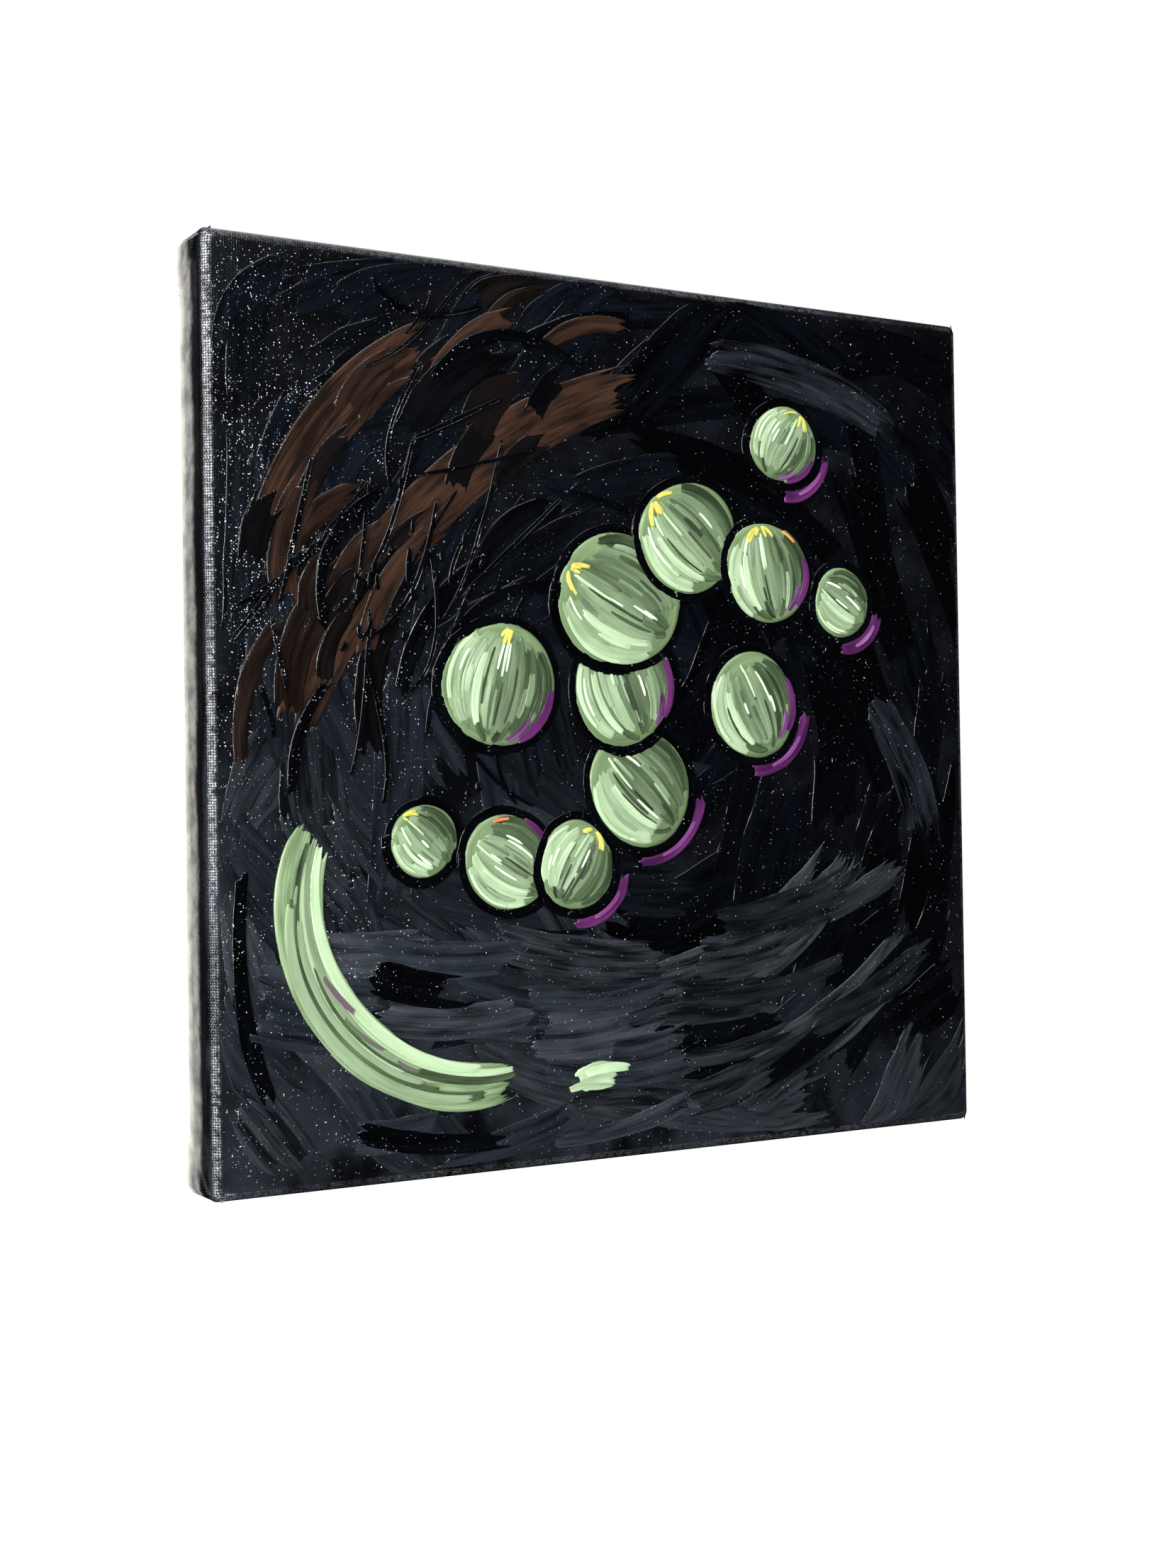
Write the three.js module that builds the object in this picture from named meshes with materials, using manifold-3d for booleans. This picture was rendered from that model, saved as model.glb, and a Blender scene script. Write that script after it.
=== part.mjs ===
// A small stretched canvas painting: a square of primed cotton canvas, painted in thick gloss
// acrylic, drawn over four pine stretcher bars, folded at the corners and stapled on the back.
// Millimetres, +Z up. The painted face looks towards -Y. The origin is the nail rest: the middle
// of the top bar's underside, where the picture hangs on its nail.
import * as THREE from 'three';
import { mergeVertices } from 'three/addons/utils/BufferGeometryUtils.js';
import Module from 'manifold-3d';

const wasm = await Module();
wasm.setup();

// ---- Driving dimensions ----
const SIDE = 254;            // width and height, a standard 10 in square
const DEPTH = 17.5;          // painted face to the back of the turned-over cloth, 11/16 in
const SHEET = 0.6;           // primed canvas
const GAP = 0.3;             // clearance between neighbouring pieces
const SHOULDER = 3.2;        // outer radius of the cloth over the front edge
const BACK_EDGE = 1.2;       // outer radius of the cloth over the back edge
const CORNER = 2.4;          // plan radius of the four corners
const ARC_STEPS = 4;         // facets in each of these roundings
const LEAST_RADIUS = 0.2;    // plan radius left where another rounding has used the corner up
const TURNOVER = 26;         // cloth turned over onto the back of the bars
const FOLD_RUN = 15.5;       // length of the corner fold along the back edge of a side
const FOLD_RISE = 0.8;       // extra cloth that the corner folds stand proud

const BAR_WIDTH = 38;        // stretcher bar, outer edge to inner edge
const LIP_WIDTH = 8;         // raised outer lip, the only wood that meets the painted cloth
const LIP_STEP = 1.2;        // drop from the lip to the bevelled front of the bar
const BEVEL_DROP = 3.2;      // drop from the lip to the bar's inner edge
const CHEEK = 4.8;           // mitred front cheek, and then two tongue layers behind it
const TONGUE = 3.3;          // one tongue layer

const KEY_MOUTH = 8;         // key slot at the inner edge of the bar
const KEY_NARROW = 2.4;      // key slot at its far end
const KEY_REACH = 24;        // depth of the key slot
const KEY_SHORT = 2;         // the key's tip stops short of the slot's end by this much
const KEY_OUT = 9;           // the key's head stands out into the window

const STAPLE_CROWN = 11;     // outer width of a staple
const STAPLE_LEG = 5.5;      // length of a leg, crown included
const WIRE_THICK = 0.7;      // flattened wire, in the direction of the legs
const WIRE_WIDE = 1.2;
const STAPLE_INSET = 12;     // row of staples, from the outer edge
const STAPLES_PER_SIDE = 4;
const STAPLE_PITCH = 54;
const CORNER_STAPLE = { along: 107, out: 117 };   // on the folded corners of two sides

const ROUND_COUNT = 12;      // rounds of green paint, drifting across the picture
const ROUND_SMALL = 10;      // radius of the rounds at the ends of the drift
const ROUND_LARGE = 18;      // and in its middle
const ROUND_VARY = 2;        // and how far they differ from each other
const ROUND_FACETS = 26;
const WOBBLE_2 = 0.035;      // unevenness of a round's edge, in two lobes and in three
const WOBBLE_3 = 0.02;
const FULLEST = 1 + WOBBLE_2 + WOBBLE_3;
const GOLDEN_ANGLE = 2.4;    // turns each round's unevenness from the last one's
const DRIFT_MIDDLE = { x: 14, z: 4 };
const DRIFT_TURN = 0.72;     // radians from the horizontal
const DRIFT_LENGTH = 170;
const DRIFT_SWING = 31;      // how far the rounds swing to either side of the drift's line
const SWING_STEP = 2.35;     // radians of that swing from one round to the next
const SWING_START = 4;
const DRIFT_BOW = 12;        // how far the drift bows up and to the left
const DARK_LINE = 1.2;       // bare dark ground left between two passages of paint
const CRESCENT_WIDTH = 4;
const CRESCENT_SPREAD = 0.8;   // radians to either side of its middle
const STROKE_STEPS = 11;
const STROKE_LANES = 4;      // across a stroke: edge, ridge, middle, ridge, edge
const STROKE_TIP = 0.5;      // width of a stroke's ends, as a share of its middle
const PAINT_EDGE = 0.35;     // thickness of the paint at its edges
const PAINT_RIDGE = 1.0;     // thickness of the ridge that the brush pushes up inside them
const PAINT_BODY = 0.7;      // thickness in the middle
const RIDGE_START = 0.55;    // where a round's ridge starts and peaks, from its middle to its edge
const RIDGE_TOP = 0.84;

// ---- Places worked out from them ----
const HALF = SIDE / 2;
const WOOD_OUTER = HALF - SHEET - GAP;
const WOOD_INNER = WOOD_OUTER - BAR_WIDTH;
const WOOD_FRONT = SHEET + GAP;
const WOOD_BACK = DEPTH - SHEET - GAP;
const LAYER_1 = WOOD_FRONT + CHEEK;
const LAYER_2 = LAYER_1 + TONGUE;
const LAYER_3 = LAYER_2 + TONGUE;
const NAIL_REST_DEPTH = (WOOD_FRONT + BEVEL_DROP + WOOD_BACK) / 2;
const OVERCUT = 2;           // how far a cutting solid runs past what it cuts

const COLOURS = {
  canvas: { color: 0x14171d, roughness: 0.32 },
  pine: { color: 0xd9b98a, roughness: 0.75 },
  key: { color: 0xc9a06a, roughness: 0.8 },
  staple: { color: 0xb9bcc0, roughness: 0.35, metalness: 1 },
  sage: { color: 0x94ae80, roughness: 0.4 },
  pale: { color: 0xb4d0a9, roughness: 0.4 },
  plum: { color: 0x692d69, roughness: 0.4 },
  slate: { color: 0x33383e, roughness: 0.35 },
  umber: { color: 0x513929, roughness: 0.38 },
  black: { color: 0x08090c, roughness: 0.25 },
};

// The four sides, each made as the top one and turned about the picture's middle. The cloth is
// folded over the corners from the top and the bottom onto the other two.
const SIDES = [
  { name: 'top', turn: 0, folded: false },
  { name: 'left', turn: -Math.PI / 2, folded: true },
  { name: 'bottom', turn: Math.PI, folded: false },
  { name: 'right', turn: Math.PI / 2, folded: true },
];

// Single strokes, from end to end, as [across, up] from the middle of the picture.
const STROKES = [
  { name: 'comma', colour: 'pale', path: [[-97, -30], [-99, -68], [-76, -95], [-38, -101]], width: 15 },
  { name: 'umber_1', colour: 'umber', path: [[-104, -6], [-78, 40], [-36, 78], [10, 98]], width: 17 },
  { name: 'umber_2', colour: 'umber', path: [[-112, 42], [-92, 78], [-58, 106]], width: 15 },
  { name: 'slate_1', colour: 'slate', path: [[28, 108], [66, 104], [104, 88]], width: 13 },
  { name: 'slate_2', colour: 'slate', path: [[88, 8], [104, -16], [112, -46]], width: 14 },
  { name: 'slate_3', colour: 'slate', path: [[2, -80], [44, -70], [80, -36]], width: 20 },
  { name: 'slate_4', colour: 'slate', path: [[22, -104], [66, -96], [104, -66]], width: 16 },
  { name: 'ridge_1', colour: 'black', path: [[-72, 4], [-62, 28], [-40, 46]], width: 4 },
  { name: 'ridge_2', colour: 'black', path: [[-34, 104], [-14, 113], [8, 116]], width: 4 },
  { name: 'ridge_3', colour: 'black', path: [[-118, -40], [-119, -74], [-110, -104]], width: 4 },
];

// ---- Solids ----
// A closed geometry as a solid, with its doubled vertices and its flat faces taken out.
function toSolid(geometry) {
  for (const attribute of ['normal', 'uv']) geometry.deleteAttribute(attribute);
  const merged = mergeVertices(geometry, 1e-4);
  const index = merged.index.array;
  const faces = [];
  for (let i = 0; i < index.length; i += 3) {
    const [a, b, c] = [index[i], index[i + 1], index[i + 2]];
    if (a !== b && b !== c && c !== a) faces.push(a, b, c);
  }
  const vertProperties = new Float32Array(merged.getAttribute('position').array);
  const triVerts = new Uint32Array(faces);
  return new wasm.Manifold(new wasm.Mesh({ numProp: 3, vertProperties, triVerts }));
}

function toMesh(name, solid, colour) {
  const { vertProperties, triVerts } = solid.getMesh();
  const geometry = new THREE.BufferGeometry();
  geometry.setAttribute('position', new THREE.BufferAttribute(new Float32Array(vertProperties), 3));
  geometry.setIndex(new THREE.BufferAttribute(new Uint32Array(triVerts), 1));
  geometry.computeVertexNormals();
  const mesh = new THREE.Mesh(geometry, new THREE.MeshStandardMaterial(COLOURS[colour]));
  mesh.name = name;
  return mesh;
}

function outline(points) {
  return new THREE.Shape(points.map(([x, z]) => new THREE.Vector2(x, z)));
}

// A flat outline in X and Z, carried back from yFront to yBack. A bevel rounds both of its ends.
function plate(shape, yFront, yBack, bevel = 0) {
  const geometry = new THREE.ExtrudeGeometry(shape, {
    depth: yBack - yFront - 2 * bevel, curveSegments: ARC_STEPS,
    bevelEnabled: bevel > 0, bevelThickness: bevel, bevelSize: bevel, bevelSegments: ARC_STEPS,
  });
  geometry.rotateX(Math.PI / 2);
  return geometry.translate(0, yBack - bevel, 0);
}

function roundedSquare(half, radius) {
  const shape = new THREE.Shape();
  const c = half - radius;
  shape.absarc(c, c, radius, 0, Math.PI / 2);
  shape.absarc(-c, c, radius, Math.PI / 2, Math.PI);
  shape.absarc(-c, -c, radius, Math.PI, 1.5 * Math.PI);
  shape.absarc(c, -c, radius, 1.5 * Math.PI, 2 * Math.PI);
  return shape;
}

// A square slab with rounded corners, whose front and back edges have roundings of their own:
// the space that two longer slabs share, each rounded by one of the two radii.
function slab(inset) {
  const half = HALF - inset;
  const corner = CORNER - inset;
  const ends = [inset, DEPTH - inset];
  const [front, back] = [SHOULDER - inset, BACK_EDGE - inset];
  const roundedAs = (edge, yFront, yBack) => {
    const shape = roundedSquare(half - edge, Math.max(corner - edge, LEAST_RADIUS));
    return toSolid(plate(shape, yFront, yBack, edge));
  };
  const frontRounded = roundedAs(front, ends[0], ends[1] + SHOULDER);
  return frontRounded.intersect(roundedAs(back, ends[0] - SHOULDER, ends[1]));
}

// ---- Stretcher bars, keys and staples, each made as for the top side ----
// Removes the wood beyond the mitre at one end, between two depths.
function mitreCut(end, yFront, yBack, setBack) {
  const inner = WOOD_INNER - OVERCUT;
  const outer = WOOD_OUTER + OVERCUT;
  return toSolid(plate(outline([
    [end * (inner - setBack), inner], [end * (outer - setBack), outer],
    [end * (outer + OVERCUT), outer], [end * (outer + OVERCUT), inner],
  ]), yFront, yBack));
}

// Clears the slot for the neighbour's tongue at one end, with the wedge-shaped room for its key.
function slotCut(end, yFront, yBack) {
  const outer = WOOD_OUTER + OVERCUT;
  const mouth = slotWidth(-OVERCUT);
  return toSolid(plate(outline([
    [end * outer, WOOD_INNER - OVERCUT], [end * (WOOD_INNER - mouth), WOOD_INNER - OVERCUT],
    [end * (WOOD_INNER - KEY_NARROW), WOOD_INNER + KEY_REACH],
    [end * (WOOD_INNER - GAP), WOOD_INNER + KEY_REACH],
    [end * (WOOD_INNER - GAP), outer], [end * outer, outer],
  ]), yFront, yBack));
}

// Width of the key slot at a height above the bar's inner edge.
function slotWidth(height) {
  return KEY_MOUTH + (KEY_NARROW - KEY_MOUTH) * height / KEY_REACH;
}

// A wedge, straight along the neighbour's tongue and slanting along the slot's end.
function keySolid(end) {
  const [yFront, yBack] = end > 0 ? [LAYER_1, LAYER_2] : [LAYER_2, LAYER_3];
  const near = end * (WOOD_INNER - GAP);
  const far = (height) => end * (WOOD_INNER + GAP - slotWidth(height));
  const tip = KEY_REACH - KEY_SHORT;
  return toSolid(plate(outline([
    [near, WOOD_INNER - KEY_OUT], [near, WOOD_INNER + tip],
    [far(tip), WOOD_INNER + tip], [far(-KEY_OUT), WOOD_INNER - KEY_OUT],
  ]), yFront + GAP / 2, yBack - GAP / 2));
}

// A staple's place: its middle in X and Z, the turn of its crown, and the depth it seats at.
function staplePlaces(foldedCorners) {
  const row = [];
  for (let i = 0; i < STAPLES_PER_SIDE; i++) {
    const x = (i - (STAPLES_PER_SIDE - 1) / 2) * STAPLE_PITCH;
    row.push({ x, z: HALF - STAPLE_INSET, turn: 0, seat: DEPTH + GAP });
  }
  if (foldedCorners) {
    for (const end of [-1, 1]) {
      const { along, out } = CORNER_STAPLE;
      row.push({ x: end * along, z: out, turn: -end * Math.PI / 4, seat: DEPTH + FOLD_RISE + GAP });
    }
  }
  return row;
}

function placeStaple(geometry, { x, z, turn, seat }) {
  return geometry.rotateY(turn).translate(x, seat, z);
}

function stapleSolid(place) {
  const side = STAPLE_CROWN / 2;
  const top = WIRE_THICK;
  const foot = WIRE_THICK - STAPLE_LEG;
  const shape = outline([
    [-side, foot], [-side + WIRE_THICK, foot], [-side + WIRE_THICK, 0], [side - WIRE_THICK, 0],
    [side - WIRE_THICK, foot], [side, foot], [side, top], [-side, top],
  ]);
  const wire = new THREE.ExtrudeGeometry(shape, { depth: WIRE_WIDE, bevelEnabled: false });
  return toSolid(placeStaple(wire.translate(0, 0, -WIRE_WIDE / 2), place));
}

// The holes that the staples' legs pass through, a clearance wider than the wire.
function withoutStapleHoles(solid, places, turn = 0) {
  for (const place of places) {
    for (const leg of [-1, 1]) {
      const hole = new THREE.BoxGeometry(WIRE_THICK + 2 * GAP, STAPLE_LEG, WIRE_WIDE + 2 * GAP);
      hole.translate(leg * (STAPLE_CROWN - WIRE_THICK) / 2, WIRE_THICK - GAP - STAPLE_LEG / 2, 0);
      solid = solid.subtract(toSolid(placeStaple(hole, place).rotateY(turn)));
    }
  }
  return solid;
}

// A bar with a raised lip, bevelled behind it, and a mitred cheek, a tongue, a slot and a mitred
// cheek at each end, so that four alike bars lock at the corners.
function barSolid(staples) {
  const blank = new THREE.BoxGeometry(2 * WOOD_OUTER, DEPTH, BAR_WIDTH);
  blank.translate(0, DEPTH / 2, (WOOD_OUTER + WOOD_INNER) / 2);
  let bar = toSolid(blank).intersect(slab(SHEET + GAP));
  const behindLip = outline([
    [WOOD_FRONT - OVERCUT, WOOD_OUTER - LIP_WIDTH], [WOOD_FRONT, WOOD_OUTER - LIP_WIDTH],
    [WOOD_FRONT + LIP_STEP, WOOD_OUTER - LIP_WIDTH - LIP_STEP],
    [WOOD_FRONT + BEVEL_DROP, WOOD_INNER], [WOOD_FRONT + BEVEL_DROP, WOOD_INNER - OVERCUT],
    [WOOD_FRONT - OVERCUT, WOOD_INNER - OVERCUT],
  ]);
  const bevel = new THREE.ExtrudeGeometry(behindLip, { depth: SIDE, bevelEnabled: false });
  bevel.translate(0, 0, -HALF).applyMatrix4(new THREE.Matrix4().makeBasis(
    new THREE.Vector3(0, 1, 0), new THREE.Vector3(0, 0, 1), new THREE.Vector3(1, 0, 0)));
  bar = bar.subtract(toSolid(bevel));
  const setBack = GAP / Math.SQRT2;
  const play = GAP / 2;
  const ends = [
    mitreCut(-1, -OVERCUT, LAYER_1 + play, setBack), slotCut(-1, LAYER_2 - play, LAYER_3 + play),
    mitreCut(-1, LAYER_3, DEPTH, setBack),
    mitreCut(1, -OVERCUT, LAYER_1, setBack), slotCut(1, LAYER_1 - play, LAYER_2 + play),
    mitreCut(1, LAYER_3 - play, DEPTH, setBack),
  ];
  for (const cut of ends) bar = bar.subtract(cut);
  return withoutStapleHoles(bar, staples);
}

// ---- Canvas: face, four sides and the cloth turned over the back, one folded sheet ----
// The triangle of doubled cloth at one end of a side, made as for the top side's outer face.
function sideFold(end) {
  const reach = HALF - CORNER / 2;
  const back = DEPTH - BACK_EDGE / 2;
  const triangle = outline([
    [end * reach, -SHOULDER / 2], [end * reach, -back], [end * (reach - FOLD_RUN), -back],
  ]);
  const depth = FOLD_RISE + SHEET / 2;
  const fold = new THREE.ExtrudeGeometry(triangle, { depth, bevelEnabled: false });
  fold.applyMatrix4(new THREE.Matrix4().makeBasis(
    new THREE.Vector3(1, 0, 0), new THREE.Vector3(0, -1, 0), new THREE.Vector3(0, 0, -1)));
  return fold.translate(0, 0, HALF + FOLD_RISE);
}

// The same fold where it lies on the back, its edge running in from the corner at 45 degrees.
function backFold(end) {
  const tip = HALF - BACK_EDGE;
  const root = HALF - TURNOVER;
  const triangle = outline([[end * tip, tip], [end * root, root], [end * root, tip]]);
  return plate(triangle, DEPTH - SHEET / 2, DEPTH + FOLD_RISE);
}

function canvasSolid() {
  const window = roundedSquare(HALF - TURNOVER, CORNER);
  let cloth = slab(0).subtract(slab(SHEET));
  cloth = cloth.subtract(toSolid(plate(window, DEPTH - SHEET - GAP, DEPTH + GAP)));
  for (const { turn } of SIDES.filter(({ folded }) => folded)) {
    for (const end of [-1, 1]) {
      cloth = cloth.add(toSolid(sideFold(end).rotateY(turn)));
      cloth = cloth.add(toSolid(backFold(end).rotateY(turn)));
    }
  }
  for (const { turn, folded } of SIDES) cloth = withoutStapleHoles(cloth, staplePlaces(folded), turn);
  return cloth;
}

// ---- Paint that stands up from the cloth ----
// Rounds drift from the lower left to the upper right, swinging from side to side, the middle
// ones largest. A later round is painted over an earlier one, which stops a dark line short of it.
const rounds = Array.from({ length: ROUND_COUNT }, (_, i) => {
  const t = i / (ROUND_COUNT - 1);
  const along = (t - 0.5) * DRIFT_LENGTH;
  const swing = DRIFT_SWING * Math.sin(SWING_STEP * i + SWING_START);
  const across = swing - DRIFT_BOW * Math.sin(Math.PI * t);
  const vary = Math.sin(GOLDEN_ANGLE * i);
  return {
    x: DRIFT_MIDDLE.x + along * Math.cos(DRIFT_TURN) + across * Math.sin(DRIFT_TURN),
    z: DRIFT_MIDDLE.z + along * Math.sin(DRIFT_TURN) - across * Math.cos(DRIFT_TURN),
    radius: ROUND_SMALL + (ROUND_LARGE - ROUND_SMALL) * Math.sin(Math.PI * t) + ROUND_VARY * vary,
    phase: GOLDEN_ANGLE * i,
  };
});

// Distance from a round's middle to its edge: a slightly uneven circle, cut short where a ray
// from the middle enters one of the rounds painted over it.
function roundEdge(index, angle) {
  const { x, z, radius, phase } = rounds[index];
  const wobble = WOBBLE_2 * Math.sin(2 * angle + phase) + WOBBLE_3 * Math.sin(3 * angle - 2 * phase);
  let edge = radius * (1 + wobble);
  for (const over of rounds.slice(index + 1)) {
    const toward = (over.x - x) * Math.cos(angle) + (over.z - z) * Math.sin(angle);
    const distance = Math.hypot(over.x - x, over.z - z);
    const reach = over.radius * FULLEST + DARK_LINE;
    const half = reach ** 2 - distance ** 2 + toward ** 2;
    if (toward > 0 && half > 0) edge = Math.min(edge, toward - Math.sqrt(half));
  }
  return edge;
}

// A round turned as an even disc, from its middle over the ridge to its edge, and then drawn
// out to its own outline.
function roundSolid(index) {
  const levels = [
    [0, PAINT_BODY], [RIDGE_START, PAINT_BODY], [RIDGE_TOP, PAINT_RIDGE], [1, PAINT_EDGE], [1, 0], [0, 0],
  ];
  const profile = levels.map(([share, height]) => new THREE.Vector2(share, -GAP - height));
  const geometry = new THREE.LatheGeometry(profile, ROUND_FACETS);
  const position = geometry.getAttribute('position');
  for (let i = 0; i < position.count; i++) {
    const angle = Math.atan2(position.getZ(i), position.getX(i));
    const share = Math.hypot(position.getX(i), position.getZ(i));
    const reach = share * roundEdge(index, angle);
    position.setX(i, rounds[index].x + reach * Math.cos(angle));
    position.setZ(i, rounds[index].z + reach * Math.sin(angle));
  }
  return toSolid(geometry);
}

// One brush stroke: a bar bent along a curve, narrowing at both ends, with the ridges that the
// sides of the brush push up.
function strokeSolid({ path, width }) {
  const curve = new THREE.CatmullRomCurve3(path.map(([x, z]) => new THREE.Vector3(x, 0, z)));
  const geometry = new THREE.BoxGeometry(1, 1, 1, STROKE_STEPS, 1, STROKE_LANES);
  const position = geometry.getAttribute('position');
  for (let i = 0; i < position.count; i++) {
    const along = position.getX(i) + 0.5;
    const across = 2 * position.getZ(i);
    const middle = curve.getPointAt(along);
    const heading = curve.getTangentAt(along);
    const taper = STROKE_TIP + (1 - STROKE_TIP) * Math.sin(Math.PI * along) ** 0.3;
    const reach = across * taper * width / 2;
    const lane = Math.round(Math.abs(across) * 2);
    const height = position.getY(i) > 0 ? [PAINT_BODY, PAINT_RIDGE, PAINT_EDGE][lane] * taper : 0;
    position.setXYZ(i, middle.x + heading.z * reach, -GAP - height, middle.z - heading.x * reach);
  }
  return toSolid(geometry);
}

// A crescent of plum paint hugging the lower right of a round.
function crescent({ x, z, radius }) {
  const reach = radius * FULLEST + DARK_LINE + CRESCENT_WIDTH / 2;
  const path = [-1, -0.5, 0, 0.5, 1].map((share) => {
    const angle = DRIFT_TURN - Math.PI / 2 + share * CRESCENT_SPREAD;
    return [x + reach * Math.cos(angle), z + reach * Math.sin(angle)];
  });
  return { path, width: CRESCENT_WIDTH };
}

// Whether a crescent has bare ground under it, clear of every round.
function isClear({ path }) {
  return path.every(([x, z]) => rounds.every((round) => (
    Math.hypot(round.x - x, round.z - z) > round.radius + CRESCENT_WIDTH / 2 + DARK_LINE / 2)));
}

// ---- Assembly ----
const painting = new THREE.Group();
painting.position.set(0, -NAIL_REST_DEPTH, -WOOD_INNER);

for (const { name, turn, folded } of SIDES) {
  const side = new THREE.Group();
  side.rotation.y = turn;
  const staples = staplePlaces(folded);
  side.add(toMesh(`bar_${name}`, barSolid(staples), 'pine'));
  side.add(toMesh(`key_${name}_a`, keySolid(-1), 'key'), toMesh(`key_${name}_b`, keySolid(1), 'key'));
  staples.forEach((place, i) => {
    side.add(toMesh(`staple_${name}_${i + 1}`, stapleSolid(place), 'staple'));
  });
  painting.add(side);
}
painting.add(toMesh('canvas', canvasSolid(), 'canvas'));
rounds.forEach((_, i) => painting.add(toMesh(`paint_round_${i + 1}`, roundSolid(i), 'sage')));
rounds.map(crescent).filter(isClear).forEach((stroke, i) => {
  painting.add(toMesh(`paint_crescent_${i + 1}`, strokeSolid(stroke), 'plum'));
});
for (const stroke of STROKES) {
  painting.add(toMesh(`paint_${stroke.name}`, strokeSolid(stroke), stroke.colour));
}

const part = new THREE.Group();
part.add(painting);
export default part;
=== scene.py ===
"""The looks of a small stretched canvas painting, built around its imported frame.

Everything is in metres in the frame's own axes: X to the right and Z up on the painted face,
which looks towards -Y. The cloth, the paint, the staples and the frayed threads are surfaces
worked out here with numpy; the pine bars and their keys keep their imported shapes.
"""
import logging
import math
from dataclasses import dataclass, field
from enum import Enum, IntEnum
from functools import partialmethod
from itertools import product

import bpy
import numpy as np
from mathutils import Matrix, Vector


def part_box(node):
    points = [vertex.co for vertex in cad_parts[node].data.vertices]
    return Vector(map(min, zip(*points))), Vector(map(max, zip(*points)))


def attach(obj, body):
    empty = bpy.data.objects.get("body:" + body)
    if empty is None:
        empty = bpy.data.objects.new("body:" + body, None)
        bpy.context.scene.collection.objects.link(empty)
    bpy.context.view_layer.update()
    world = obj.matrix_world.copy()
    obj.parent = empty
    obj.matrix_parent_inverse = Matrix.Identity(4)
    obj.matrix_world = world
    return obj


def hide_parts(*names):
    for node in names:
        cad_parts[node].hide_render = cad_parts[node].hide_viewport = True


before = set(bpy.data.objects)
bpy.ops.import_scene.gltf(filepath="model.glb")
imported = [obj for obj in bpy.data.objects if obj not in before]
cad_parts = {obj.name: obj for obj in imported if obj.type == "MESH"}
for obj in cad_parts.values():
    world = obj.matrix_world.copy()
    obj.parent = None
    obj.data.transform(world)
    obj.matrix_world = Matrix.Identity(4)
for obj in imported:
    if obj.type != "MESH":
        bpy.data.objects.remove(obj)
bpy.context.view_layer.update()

MM = 0.001
QUARTER = math.pi / 2
LOG = logging.getLogger("painting")
Colour = tuple[float, float, float]
Path = tuple[tuple[float, float], ...]
Array = np.ndarray
Piece = bpy.types.Object
Material = bpy.types.Material
Socket = bpy.types.NodeSocket


# ---------------------------------------------------------------- shader nodes
class Value:
    """A shader socket with a number on it; arithmetic on it adds Math nodes to its tree."""

    def __init__(self, nodes: "Nodes", socket: Socket) -> None:
        """Keeps the tree and the socket."""
        self.nodes, self.socket = nodes, socket

    def math(self, operation: str, *others: "Value | float", clamp: bool = False) -> "Value":
        """Adds a Math node of that operation, with its other values, held from 0 to 1 if clamp is set."""
        settings = {"operation": operation, "use_clamp": clamp}
        return Value(self.nodes, self.nodes.add("ShaderNodeMath", settings, dict(enumerate((self, *others)))))

    __add__ = partialmethod(math, "ADD")
    __sub__ = partialmethod(math, "SUBTRACT")
    __mul__ = partialmethod(math, "MULTIPLY")
    __truediv__ = partialmethod(math, "DIVIDE")

    def step(self, low: float, high: float) -> "Value":
        """A smooth step: 0 where this value is at low, 1 where it is at high."""
        return Value(self.nodes, self.nodes.add(
            "ShaderNodeMapRange", {"interpolation_type": "SMOOTHSTEP"},
            {"Value": self, "From Min": low, "From Max": high}))


Number = Value | float


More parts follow.
